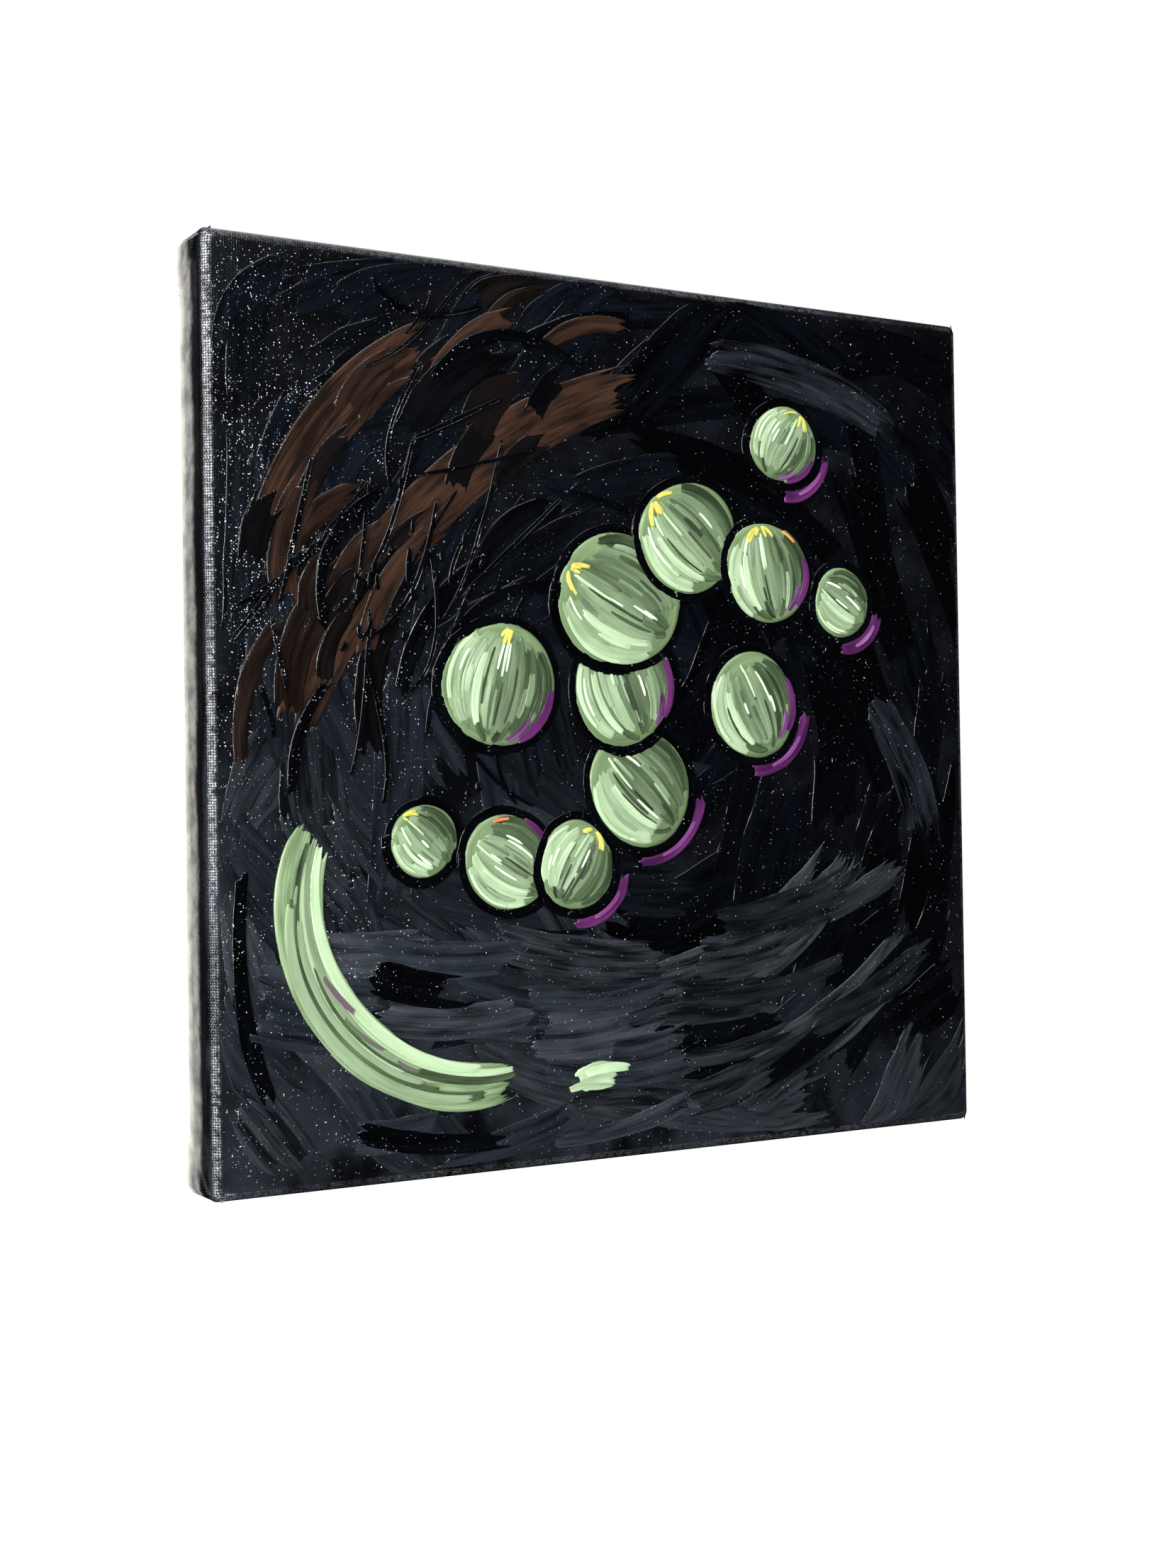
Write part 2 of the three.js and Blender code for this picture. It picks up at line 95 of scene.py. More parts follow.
class Nodes:
    """The node tree of a material or of the world."""

    def __init__(self, owner: Material | bpy.types.World) -> None:
        """Empties the owner's tree."""
        self.owner = owner
        owner.use_nodes = True
        self.tree = owner.node_tree
        self.tree.nodes.clear()

    @classmethod
    def material(cls, name: str) -> "Nodes":
        """Starts an empty material with that name."""
        return cls(bpy.data.materials.new(name))

    def add(self, kind: str, settings: dict | None = None, values: dict | None = None,
            output: int | str = 0) -> Socket:
        """Adds a node.

        Args:
            kind: the node's type.
            settings: its options, set before its sockets.
            values: a number, colour, Value or socket for each input, by name or place; None is left out.
            output: the output wanted, by name or place.

        Returns:
            That output.
        """
        node = self.tree.nodes.new(kind)
        for key, option in (settings or {}).items():
            setattr(node, key, option)
        for key, value in (values or {}).items():
            socket = node.inputs[key]
            value = value.socket if isinstance(value, Value) else value
            if isinstance(value, Socket):
                self.tree.links.new(value, socket)
            elif value is not None:
                socket.default_value = (*value, 1.0) if socket.type == "RGBA" else value
        return node.outputs[output] if node.outputs else None

    def attribute(self, name: str, output: str) -> Socket:
        """One output, Color, Vector or Fac, of a named attribute of the mesh."""
        return self.add("ShaderNodeAttribute", {"attribute_name": name}, output=output)

    def place(self, output: str = "Object") -> Socket:
        """The shaded point, in the object's own axes or on its UV map."""
        return self.add("ShaderNodeTexCoord", output=output)

    def parts(self, vector: Socket) -> tuple[Value, ...]:
        """The three numbers of a vector."""
        first = self.add("ShaderNodeSeparateXYZ", values={0: vector})
        return tuple(Value(self, output) for output in first.node.outputs)

    def spot(self) -> tuple[Socket, Value, Value]:
        """The shaded point in the object's own axes, its X and its Z."""
        place = self.place()
        x, _, z = self.parts(place)
        return place, x, z

    def vector(self, x: Number, y: Number, z: Number) -> Socket:
        """Three numbers as a vector."""
        return self.add("ShaderNodeCombineXYZ", values={0: x, 1: y, 2: z})

    def scaled(self, vector: Socket, *scale: float) -> Socket:
        """A vector with each part multiplied by a number of its own."""
        return self.add("ShaderNodeVectorMath", {"operation": "MULTIPLY"}, {0: vector, 1: scale})

    def noise(self, vector: Socket, scale: float, detail: float = 2.0, roughness: float = 0.5) -> Value:
        """Noise from 0 to 1 at a point, of a frequency, with so many finer layers of that strength."""
        return Value(self, self.add("ShaderNodeTexNoise", values={
            "Vector": vector, "Scale": scale, "Detail": detail, "Roughness": roughness}))

    def mix(self, share: Number, low: Socket | Colour, high: Socket | Colour) -> Socket:
        """A colour between two, at a share from 0 to 1."""
        return self.add("ShaderNodeMix", {"data_type": "RGBA"}, {0: share, 6: low, 7: high}, output=2)

    def bump(self, height: Value, distance: float, below: Socket | None = None) -> Socket:
        """A normal tilted by a height of 0 to 1 that stands for metres, over a coarser bump's normal."""
        return self.add("ShaderNodeBump", values={"Height": height, "Distance": distance, "Normal": below})

    def finish(self, colour: Socket | Colour, roughness: Number, normal: Socket | None = None,
               fixed: dict | None = None) -> Material:
        """Closes the tree with a Principled shader.

        Args:
            colour: base colour.
            roughness: roughness.
            normal: a bumped normal.
            fixed: what is the same all over, by socket name.

        Returns:
            The material.
        """
        shader = self.add("ShaderNodeBsdfPrincipled", values={
            "Base Color": colour, "Roughness": roughness, "Normal": normal, **(fixed or {})})
        self.add("ShaderNodeOutputMaterial", values={0: shader})
        return self.owner


# ---------------------------------------------------------------- surfaces
@dataclass
class Skin:
    """One closed surface: points, polygons, and what its paint reads at each point."""

    points: Array   # places, one row each
    corners: Array  # the polygons' point numbers, one polygon after another
    sizes: Array    # how many corners each polygon has
    grain: Array    # a point in the brush's own space: along the hairs, a lot number, across the hairs
    tone: Array     # how much of the light colour shows, from 0 to 1
    light: Colour   # the light colour
    dark: Colour    # the dark colour


def make_mesh(name: str, points: Array, corners: Array, sizes: Array) -> Piece:
    """Puts arrays into a smooth mesh object at the origin.

    Args:
        name: the piece's name.
        points: places in metres, one row each.
        corners: the polygons' point numbers, one polygon after another.
        sizes: how many corners each polygon has.

    Returns:
        The object, linked to the scene.
    """
    mesh = bpy.data.meshes.new(name)
    mesh.vertices.add(len(points))
    mesh.vertices.foreach_set("co", points.astype(np.float32).ravel())
    mesh.loops.add(len(corners))
    mesh.loops.foreach_set("vertex_index", corners.astype(np.int32))
    mesh.polygons.add(len(sizes))
    mesh.polygons.foreach_set("loop_start", (np.cumsum(sizes) - sizes).astype(np.int32))
    mesh.polygons.foreach_set("use_smooth", np.ones(len(sizes), bool))
    mesh.update(calc_edges=True)
    mesh.validate()
    piece = bpy.data.objects.new(name, mesh)
    bpy.context.scene.collection.objects.link(piece)
    return piece


def store(piece: Piece, name: str, kind: str, values: Array) -> None:
    """Stores an attribute of one value, vector or colour for each point."""
    slot = {"FLOAT": "value", "FLOAT_VECTOR": "vector", "FLOAT_COLOR": "color"}[kind]
    attribute = piece.data.attributes.new(name, kind, "POINT")
    attribute.data.foreach_set(slot, values.astype(np.float32).ravel())


def grid_quads(rows: int, columns: int, closed: bool = False) -> Array:
    """Quads of a grid of points, row by row.

    Args:
        rows: points along the first way.
        columns: points along the second way.
        closed: whether the last column joins the first.

    Returns:
        One row of four point numbers for each quad, turning from rows to columns.
    """
    i, j = np.meshgrid(np.arange(rows - 1), np.arange(columns - (not closed)), indexing="ij")
    k = (j + 1) % columns
    quads = np.stack([i * columns + j, (i + 1) * columns + j, (i + 1) * columns + k, i * columns + k], -1)
    return quads.reshape(-1, 4)


def join_skins(name: str, skins: list[Skin]) -> Piece:
    """Joins painted surfaces into one piece, which carries what their paint reads.

    Args:
        name: the piece's name.
        skins: the surfaces.

    Returns:
        The piece.
    """
    counts = [len(skin.points) for skin in skins]
    joined = {key: np.concatenate([getattr(skin, key) for skin in skins])
              for key in ("points", "corners", "sizes", "grain", "tone")}
    starts = np.repeat(np.cumsum([0, *counts[:-1]]), [len(skin.corners) for skin in skins])
    piece = make_mesh(name, joined["points"], joined["corners"] + starts, joined["sizes"])
    store(piece, "grain", "FLOAT_VECTOR", joined["grain"])
    store(piece, "tone", "FLOAT", joined["tone"])
    for key in ("light", "dark"):
        colours = [(*getattr(skin, key), 1.0) for skin in skins]
        store(piece, key, "FLOAT_COLOR", np.repeat(colours, counts, axis=0))
    return piece


def wander(rng: np.random.Generator, knots: int, at: Array) -> Array:
    """Smooth random values from -1 to 1: random knots joined by half cosine waves.

    Args:
        rng: the source of the knots.
        knots: how many spans there are from 0 to 1.
        at: where to read it, from 0 to 1.

    Returns:
        One value for each place.
    """
    values = rng.uniform(-1, 1, knots + 1)
    place = np.clip(at, 0, 1) * (knots - 1e-6)
    low = place.astype(int)
    share = (1 - np.cos(np.pi * (place - low))) / 2
    return values[low] * (1 - share) + values[low + 1] * share


# ---------------------------------------------------------------- the painted face, in millimetres
SQUARE = 254.0       # the picture's width and height
SHOULDER = 3.2       # radius of the cloth's front edge
PROUD = 0.8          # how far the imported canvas's corner folds stand off its back
CEILING = 1.26       # the highest that paint stands off the cloth
EASY = 112.0         # how far from the middle a stroke runs freely
OVER = 2.4           # how far paint follows the rounded shoulder
MARGIN = 1.2         # what stays free of paint along the edge
LANE = 0.62          # distance between two lanes of bristles
RING = 0.75          # distance between two rings of a blob
SINK = 0.12          # how far a stroke's rim dips under what it lies on
ROOT = 0.2           # how far the walls of paint run down into the cloth


@dataclass(frozen=True)
class Face:
    """The stretched cloth's main sizes in metres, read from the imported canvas."""

    front: float   # Y of the painted face
    back: float    # Y of the back of the turned-over cloth
    middle: float  # Z of the picture's middle
    half: float    # half of its width and height

    @classmethod
    def from_frame(cls) -> "Face":
        """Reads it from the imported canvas."""
        low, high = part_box("canvas")
        return cls(low.y, high.y - PROUD * MM, (low.z + high.z) / 2, (high.z - low.z) / 2)

    def place(self, x: Array, deep: Array, z: Array) -> Array:
        """Points in metres, from millimetres across, behind the face and up from its middle."""
        return np.stack([x * MM, self.front + deep * MM, self.middle + z * MM], -1).reshape(-1, 3)

    def kept(self, values: Array) -> Array:
        """Millimetres from the middle, pressed together near the edge so that none passes it."""
        room = self.half / MM - MARGIN - EASY
        over = np.maximum(np.abs(values) - EASY, 0)
        return np.sign(values) * (np.minimum(np.abs(values), EASY) + room * np.tanh(over / room))

    def points(self, across: Array, up: Array, height: Array) -> Array:
        """Points over the face, from millimetres across and up from its middle and off the cloth.

        Past the start of the rounded shoulder they follow it: they drop by the radius less the
        square root of its square less the square of the distance past that start.
        """
        past = np.clip(np.maximum(np.abs(across), np.abs(up)) - (self.half / MM - SHOULDER), 0, OVER)
        return self.place(across, SHOULDER - np.sqrt(SHOULDER ** 2 - past ** 2) - height, up)


class PaintBed:
    """How high the paint already stands over the cloth, on a square raster of the face."""

    CELL = 0.8

    def __init__(self, half: float) -> None:
        """Starts with bare cloth out to half, in millimetres."""
        self.half = half
        self.count = int(2 * half / self.CELL) + 2
        self.level = np.zeros((self.count, self.count))

    def cells(self, values: Array) -> Array:
        """Raster coordinates of millimetres from the middle."""
        return np.clip((values + self.half) / self.CELL, 0, self.count - 1.001)

    def under(self, across: Array, up: Array) -> Array:
        """The paint's height at some places, read between the raster's four nearest cells.

        Args:
            across, up: the places.

        Returns:
            The heights.
        """
        a, b = self.cells(across), self.cells(up)
        i, j = a.astype(int), b.astype(int)
        p, q, level = a - i, b - j, self.level
        return ((level[i, j] * (1 - p) + level[i + 1, j] * p) * (1 - q)
                + (level[i, j + 1] * (1 - p) + level[i + 1, j + 1] * p) * q)

    def lay(self, across: Array, up: Array, height: Array) -> None:
        """Raises the bed to the top of new paint, spread one cell to every side."""
        layer = np.zeros_like(self.level)
        np.maximum.at(layer, (self.cells(across).astype(int), self.cells(up).astype(int)), height)
        spread = [np.roll(layer, shift, axis) for shift in (-1, 1) for axis in (0, 1)]
        self.level = np.maximum.reduce([self.level, layer, *spread])

    def cover(self, across: Array, up: Array, height: Array, rim: Array) -> Array:
        """Lays a patch of paint on the bed and raises the bed by it.

        A point comes to stand at the bed's height plus its own times the share of room left
        under the ceiling, and a point of the rim dips under the bed.

        Args:
            across: the points' millimetres across.
            up: their millimetres up.
            height: the paint's own height there.
            rim: which points are the patch's rim.

        Returns:
            The points' heights off the cloth.
        """
        below = self.under(across, up)
        top = np.where(rim, below - SINK, below + height * (1 - below / CEILING))
        self.lay(across[~rim], up[~rim], top[~rim])
        return top


def closed_skin(face: Face, shape: tuple[Array, Array, Array], rim: Array, polygons: list[Array],
                grain: Array, tone: Array | float, colours: tuple[Colour, Colour]) -> Skin:
    """Closes a patch of paint by walls from its rim down into the cloth and a floor in there.

    Args:
        face: the painted face.
        shape: the points' millimetres across, up and off the cloth, as three equal grids.
        rim: numbers of the points round the patch, the way that its polygons turn.
        polygons: arrays of point numbers, one row for each polygon.
        grain: the points' places in the brush's own space.
        tone: how much of the light colour shows.
        colours: the light and the dark colour.

    Returns:
        The closed surface.
    """
    across, up, top = (grid.ravel() for grid in shape)
    low = len(across) + np.arange(len(rim))
    walls = np.stack([np.roll(rim, -1), rim, low, np.roll(low, -1)], -1)
    polygons = [*polygons, walls, low[None, ::-1]]
    tones = np.broadcast_to(tone, shape[0].shape).ravel()
    roots = face.points(across[rim], up[rim], np.full(len(rim), -ROOT))
    return Skin(np.concatenate([face.points(across, up, top), roots]),
                np.concatenate([each.ravel() for each in polygons]),
                np.concatenate([np.full(len(each), each.shape[1]) for each in polygons]),
                np.concatenate([grain, grain[rim]]), np.concatenate([tones, tones[rim]]), *colours)


@dataclass(frozen=True)
class Stroke:
    """One pull of a flat brush, in millimetres."""

    path: Path            # places that it passes, across and up from the face's middle
    width: float          # the brush's width
    thick: float          # how much paint it leaves
    light: Colour         # colour of the lighter streaks
    dark: Colour          # colour of the darker streaks
    tone: float           # how much of the light colour shows
    lot: int              # the number that its random draws start from
    ridge: float = 0.3    # how far paint is pushed up along both sides, as a share of thick
    ragged: float = 0.5   # how far the ends are drawn out, as a share of the width
    tip: float = 0.6      # the width of the ends, as a share of the width
    groove: float = 0.35  # how deep the bristles cut, as a share of thick
    pace: float = 1.2     # the grid's spacing along the stroke

    def skin(self, face: Face, bed: PaintBed) -> Skin:
        """Lays the stroke on the paint that is there.

        The middle line is the polynomial through the path's points over their distance apart.
        Across it run lanes of bristles. Each lane starts and ends at its own place, and its
        height is the paint's thickness, less the bristle's groove, plus the ridge at the sides.
        The rim dips under the surface below.

        Args:
            face: the painted face.
            bed: the paint so far, which is raised by the stroke.

        Returns:
            The closed surface.
        """
        rng = np.random.default_rng(self.lot)
        knots = np.array(self.path, float)
        reach = np.concatenate([[0], np.cumsum(np.hypot(*np.diff(knots, axis=0).T))])
        curve = [np.polyfit(reach / reach[-1], knots[:, axis], len(knots) - 1) for axis in (0, 1)]
        rows = max(8, int(reach[-1] / self.pace)) + 1
        lanes = max(9, int(self.width / LANE) | 1)
        v = np.sin(np.linspace(-1, 1, lanes) * QUARTER * 0.8) / np.sin(QUARTER * 0.8)
        lane_at = np.linspace(0, 1, lanes)
        fray = self.ragged * self.width / reach[-1]
        start = fray * (0.3 + 0.3 * wander(rng, 5, lane_at) + 0.25 * rng.uniform(0, 1, lanes))
        stop = fray * (0.5 + 0.6 * wander(rng, 6, lane_at) + 0.4 * rng.uniform(0, 1, lanes))
        u = np.linspace(0, 1, rows)[:, None]
        t = start + (1 - start - stop) * u
        middle = [np.polyval(c, t) for c in curve]
        heading = [np.polyval(np.polyder(c), t) for c in curve]
        speed = np.hypot(*heading)
        taper = self.tip + (1 - self.tip) * np.clip(np.sin(np.pi * t), 0, 1) ** 0.35
        side = self.width / 2 * taper * (1 + 0.07 * wander(rng, 7, t))
        across = face.kept(middle[0] - heading[1] / speed * side * v)
        up = face.kept(middle[1] + heading[0] / speed * side * v)
        hair = rng.uniform(0, 1, lanes) * 0.6 + 0.4 * (0.5 + 0.5 * wander(rng, 9, lane_at))
        hair = hair * (0.8 + 0.2 * wander(rng, 6, t))
        crest = self.ridge * np.exp(-((np.abs(v) - 0.86) / 0.09) ** 2)
        load = 1 - 0.45 * t
        height = self.thick * (1 - self.groove * hair + crest) * (0.55 + 0.45 * load)
        height = height * np.minimum(1, np.minimum(u, 1 - u) * rows / 3 + 0.35)
        edge = np.zeros((rows, lanes), bool)
        edge[[0, -1]] = edge[:, [0, -1]] = True
        top = bed.cover(across, up, height, edge)
        number = np.arange(rows * lanes).reshape(rows, lanes)
        rim = np.concatenate([number[:, 0], number[-1, 1:], number[-2::-1, -1], number[0, -2:0:-1]])
        along = t * reach[-1]
        grain = np.stack([along, np.full_like(along, self.lot * 7.3), side * v], -1).reshape(-1, 3)
        return closed_skin(face, (across, up, top), rim, [grid_quads(rows, lanes)], grain, self.tone,
                           (self.light, self.dark))


@dataclass(frozen=True)
class Blob:
    """One rounded patch of paint, brushed round and round, in millimetres."""

    across: float  # X of its middle, from the face's middle
    up: float      # Z of its middle
    radius: float  # its mean radius
    phase: float   # where its outline's waves start

    def reach(self, angle: Array) -> Array:
        """Distance from the middle to the outline, in a direction: a circle with two slight waves."""
        return self.radius * (1 + 0.035 * np.sin(2 * angle + self.phase)
                              + 0.02 * np.sin(3 * angle - 2 * self.phase))

    def around(self, angle: Array, gap: float) -> Path:
        """Places at some angles, a gap outside the outline."""
        out = self.reach(angle) + gap
        return pairs(self.across + out * np.cos(angle), self.up + out * np.sin(angle))

    def skin(self, face: Face, bed: PaintBed, light: Colour, dark: Colour) -> Skin:
        """Lays the blob on the paint that is there.

        Rings of points run round the middle. The height rises from the rim to a ridge just
        inside it and falls to the body, which is furrowed along the rings by the bristles.

        Args:
            face: the painted face.
            bed: the paint so far, which is raised by the blob.
            light: colour of the lighter streaks.
            dark: colour of the darker streaks.

        Returns:
            The closed surface.
        """
        rng = np.random.default_rng(int(self.radius * 100))
        spokes, rings = 120, max(10, int(self.radius / RING))
        share = np.linspace(1, 0.02, rings)[:, None]
        angle = np.linspace(0, 2 * np.pi, spokes, endpoint=False)[None, :]
        out = self.reach(angle) * share
        across, up = self.across + out * np.cos(angle), self.up + out * np.sin(angle)
        furrow = rng.uniform(0, 1, rings)[:, None] * (0.75 + 0.25 * np.sin(angle * 2 + self.phase))
        turn = 0.5 + 0.5 * np.sin(angle * 3 + share * 9 + self.phase)
        ridge = 0.35 * np.exp(-((share - 0.93) / 0.035) ** 2) * (0.7 + 0.3 * np.sin(angle * 5 + self.phase))
        height = 0.5 - 0.16 * furrow * share + 0.1 * turn + ridge
        top = bed.cover(across, up, height, np.broadcast_to(share == 1, out.shape))
        quads = grid_quads(rings, spokes, closed=True)[:, ::-1]
        centre = (rings - 1) * spokes + np.arange(spokes)[None, :]
        arc = angle * share * self.radius
        grain = np.stack([arc, np.full_like(arc, self.phase * 5), share * self.radius + 0 * arc], -1)
        tone = 0.42 + 0.3 * np.cos(angle - 2.2) * share
        return closed_skin(face, (across, up, top), np.arange(spokes), [quads, centre], grain.reshape(-1, 3),
                           tone, (light, dark))


def shade(red: float, green: float, blue: float) -> Colour:
    """A screen colour, 0 to 255, as linear light."""
    return tuple(c / 255 / 12.92 if c < 10.3 else ((c / 255 + 0.055) / 1.055) ** 2.4
                 for c in (red, green, blue))


def between(low: Colour, high: Colour, share: float) -> Colour:
    """A colour between two colours."""
    return tuple(a + (b - a) * share for a, b in zip(low, high))


def held(share: float) -> float:
    """A share, held between 0 and 1."""
    return min(1, max(0, share))


def pairs(across: Array, up: Array) -> Path:
    """Two rows of numbers as a path."""
    return tuple(zip(across.tolist(), up.tolist()))


SHARES = (-0.5, -0.17, 0.17, 0.5)


def bowed(x: float, y: float, length: float, turn: float, bows: list[float]) -> Path:
    """A line of four places about a point, turned, with each pushed aside by its bow times the length."""
    return tuple((x + length * (s * math.cos(turn) - bow * math.sin(turn)),
                  y + length * (s * math.sin(turn) + bow * math.cos(turn))) for s, bow in zip(SHARES, bows))


class Family(Enum):
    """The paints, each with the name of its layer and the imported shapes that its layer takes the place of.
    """

    SAGE = "sage_paint", [f"paint_round_{i}" for i in range(1, 13)]
    PALE = "pale_green_paint", ["paint_comma"]
    PLUM = "plum_paint", [f"paint_crescent_{i}" for i in range(1, 6)]
    SLATE = "slate_paint", [f"paint_slate_{i}" for i in range(1, 5)]
    UMBER = "umber_paint", ["paint_umber_1", "paint_umber_2"]
    BLACK = "black_paint", [f"paint_ridge_{i}" for i in range(1, 4)]


class Lot(IntEnum):
    """The number that each group of strokes starts its lots from."""

    MAIN = 20
    COMMA = 60
    DAB = 76
    CRESCENT = 80
    VEIN = 175
    GROUND = 500
    LOWER = 700
    CREST = 800
    ARC = 850
    BEAD = 860
    WARM = 900


@dataclass(frozen=True)
class Palette:
    """The colours on the brush."""

    foam: Colour = shade(218, 236, 206)
    mint: Colour = shade(186, 212, 174)
    pale: Colour = shade(160, 186, 142)
    leaf: Colour = shade(124, 148, 106)
    moss: Colour = shade(88, 108, 74)
    deep: Colour = shade(38, 50, 34)
    lime: Colour = shade(188, 198, 96)
    gold: Colour = shade(214, 196, 96)
    ember: Colour = shade(196, 92, 58)
    plum: Colour = shade(112, 50, 112)
    wine: Colour = shade(58, 18, 62)
    lilac: Colour = shade(150, 100, 160)
    slate: Colour = shade(64, 70, 76)
    navy: Colour = shade(21, 29, 43)
    ink: Colour = shade(6, 9, 14)
    black: Colour = shade(1, 1, 2)
    umber: Colour = shade(70, 48, 37)
    bark: Colour = shade(26, 18, 14)


@dataclass
class Picture:
    """The paint on the face, laid in the order that a painter would work in."""

    face: Face                    # the stretched cloth
    colours: Palette = Palette()
    rounds: int = 12              # how many rounds there are
    lean: float = 0.72            # the angle of the line that they lie along
    crests: int = 30              # how many raised crests
    beads: int = 26               # how many beads
    lower: int = 34               # how many strokes across the lower part
    warm: int = 26                # how many umber strokes at the upper left
    cell: float = 22.5            # distance between the ground's strokes
    eye: tuple[float, float] = (10.0, 6.0)               # what they turn about
    bed: PaintBed = field(init=False)                    # how high the paint stands so far
    skins: dict[Family, list[Skin]] = field(init=False)  # the surfaces laid so far, by paint

    def __post_init__(self) -> None:
        """Starts with the bare cloth."""
        self.bed = PaintBed(self.face.half / MM)
        self.skins = {family: [] for family in Family}

    def lay(self, family: Family, *sizes: Path | float | Colour, **shape: float) -> None:
        """Lays one stroke, given as the fields of Stroke."""
        self.skins[family].append(Stroke(*sizes, **shape).skin(self.face, self.bed))

    def swirl(self, x: float, y: float) -> float:
        """The direction round the eye at a place."""
        return math.atan2(y - self.eye[1], x - self.eye[0]) + QUARTER

    def blobs(self) -> list[Blob]:
        """The rounds: their middles swing to and fro across a line up the face."""
        found = []
        for i in range(self.rounds):
            t = i / (self.rounds - 1)
            along = (t - 0.5) * 170
            across = 31 * math.sin(2.35 * i + 4) - 12 * math.sin(math.pi * t)
            found.append(Blob(
                14 + along * math.cos(self.lean) + across * math.sin(self.lean),
                4 + along * math.sin(self.lean) - across * math.cos(self.lean),
                10 + 8 * math.sin(math.pi * t) + 2 * math.sin(2.4 * i), 2.4 * i))
        return found

    def lay_ground(self) -> None:
        """Covers the cloth with broad dark strokes that turn loosely about the middle."""
        c, rng = self.colours, np.random.default_rng(41)
        cells = [(x, y) for x in range(-5, 6) for y in range(-5, 6)]
        for lot, pick in enumerate(rng.permutation(len(cells))):
            x, y = (self.cell * cell + rng.uniform(-8, 8) for cell in cells[pick])
            turn = self.swirl(x, y) + rng.normal(0, 0.35)
            length, bend = rng.uniform(36, 74), rng.uniform(-0.22, 0.22)
            path = bowed(x, y, length, turn, [bend * (s * s - 0.08) for s in SHARES])
            lit = 1 / (1 + math.exp((0.55 * x + y + 58) / 20))
            low = between(c.black, c.ink, 0.2 + lit)
            high = between(c.ink, c.navy, rng.uniform(0.1, 0.6))
            high = between(high, c.slate, lit * rng.uniform(0.2, 0.9))
            family = Family.SLATE
            if x > 10 and lit < 0.4:
                family, low, high = Family.BLACK, c.black, between(c.black, c.navy, rng.uniform(0, 0.3))
            self.lay(family, path, rng.uniform(10, 20), rng.uniform(0.14, 0.3), high, low,
                     rng.uniform(0.15, 0.6), Lot.GROUND + lot, 0.12, 0.9, 0.75, pace=1.7)

    def lay_crests(self) -> None:
        """Raised crests and beads of dark paint over the ground, most of them at the upper left."""
        c, rng = self.colours, np.random.default_rng(77)
        for lot in range(self.crests):
            spread = 1.0 if lot % 4 else 2.0
            x, y = -66 + rng.normal(0, 22) * spread, 50 + rng.normal(0, 28) * spread
            x, y = max(-110, min(110, x)), max(-110, min(110, y))
            turn = self.swirl(x, y) + rng.normal(0, 0.3)
            length, bend = rng.uniform(14, 56), rng.normal(0, 0.35)
            path = bowed(x, y, length, turn, [bend * (s * s + s ** 3) for s in SHARES])
            self.lay(Family.BLACK, path, rng.uniform(1.0, 2.0), rng.uniform(0.45, 0.85), c.ink, c.black,
                     0.4, Lot.CREST + lot, 0.7, 0.4, 0.25, pace=0.7)
        for lot, path in enumerate([((-94, 22), (-92, 46), (-74, 62)), ((-62, 92), (-44, 106), (-14, 100)),
                                    ((-58, 20), (-34, 36), (-12, 34)), ((-104, -22), (-101, -4), (-92, 10))]):
            self.lay(Family.BLACK, path, 3.4, 0.9, c.ink, c.black, 0.3, Lot.ARC + lot, 0.5, 0.8, 0.2,
                     pace=0.7)
        for lot in range(self.beads):
            x, y = rng.normal(-68, 16), rng.normal(36, 24)
            long, lean = rng.uniform(0.8, 2.6), rng.normal(0, 0.8)
            self.lay(Family.BLACK, ((x - lean, y - long), (x, y), (x + 0.3, y + long)), rng.uniform(1.1, 1.9),
                     0.95, c.ink, c.black, 0.4, Lot.BEAD + lot, 0.1, 0.1, 0.5, 0.1, 0.5)

    def lay_main_strokes(self) -> None:
        """The large strokes beside the rounds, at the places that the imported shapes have."""
        c = self.colours
        dusk = between(c.navy, c.slate, 0.4)
        for i, (family, path, width, light, dark, tone) in enumerate([
            (Family.UMBER, ((-104, -6), (-78, 40), (-36, 78), (10, 98)), 17, c.umber, c.bark, 0.35),
            (Family.UMBER, ((-112, 42), (-92, 78), (-58, 106)), 15, c.umber, c.bark, 0.25),
            (Family.SLATE, ((28, 108), (66, 104), (104, 88)), 13, dusk, c.black, 0.3),
            (Family.SLATE, ((88, 8), (104, -16), (112, -46)), 14, dusk, c.black, 0.25),
            (Family.SLATE, ((2, -80), (44, -70), (80, -36)), 20, c.slate, c.ink, 0.3),
            (Family.SLATE, ((22, -104), (66, -96), (104, -66)), 16, c.slate, c.ink, 0.3),
            (Family.BLACK, ((-72, 4), (-62, 28), (-40, 46)), 6, c.ink, c.black, 0.3),
            (Family.BLACK, ((-34, 104), (-14, 113), (8, 116)), 6, c.ink, c.black, 0.3),
            (Family.BLACK, ((-118, -40), (-119, -74), (-110, -104)), 6, c.ink, c.black, 0.3),
        ]):
            self.lay(family, path, width, 0.36, light, dark, tone, Lot.MAIN + i, 0.4, 0.8, 0.45)

    def lay_lower(self) -> None:
        """Level strokes across the lower part, that rise towards the right."""
        c, rng = self.colours, np.random.default_rng(19)
        for lot in range(self.lower):
            x, y, length = rng.uniform(-112, 90), rng.uniform(-120, -62), rng.uniform(30, 66)
            rise = rng.normal(0, 0.14) + 0.35 * (x + 30) / 100
            y += max(0, x - 30) * 0.35
            path = tuple((x + length * s, y + length * s * (rise + 0.25 * s))
                         for s in (-0.5, -0.15, 0.15, 0.5))
            start, most = (c.ink, 0.75) if x > 20 else (c.navy, 1)
            light = between(start, c.slate, rng.uniform(0.2, 0.95) * most)
            family, light, dark = (Family.SLATE, light, c.ink) if lot % 5 else (Family.BLACK, c.ink, c.black)
            self.lay(family, path, rng.uniform(6, 15), 0.2, light, dark, rng.uniform(0.2, 0.55),
                     Lot.LOWER + lot, ragged=1.0, pace=1.5)

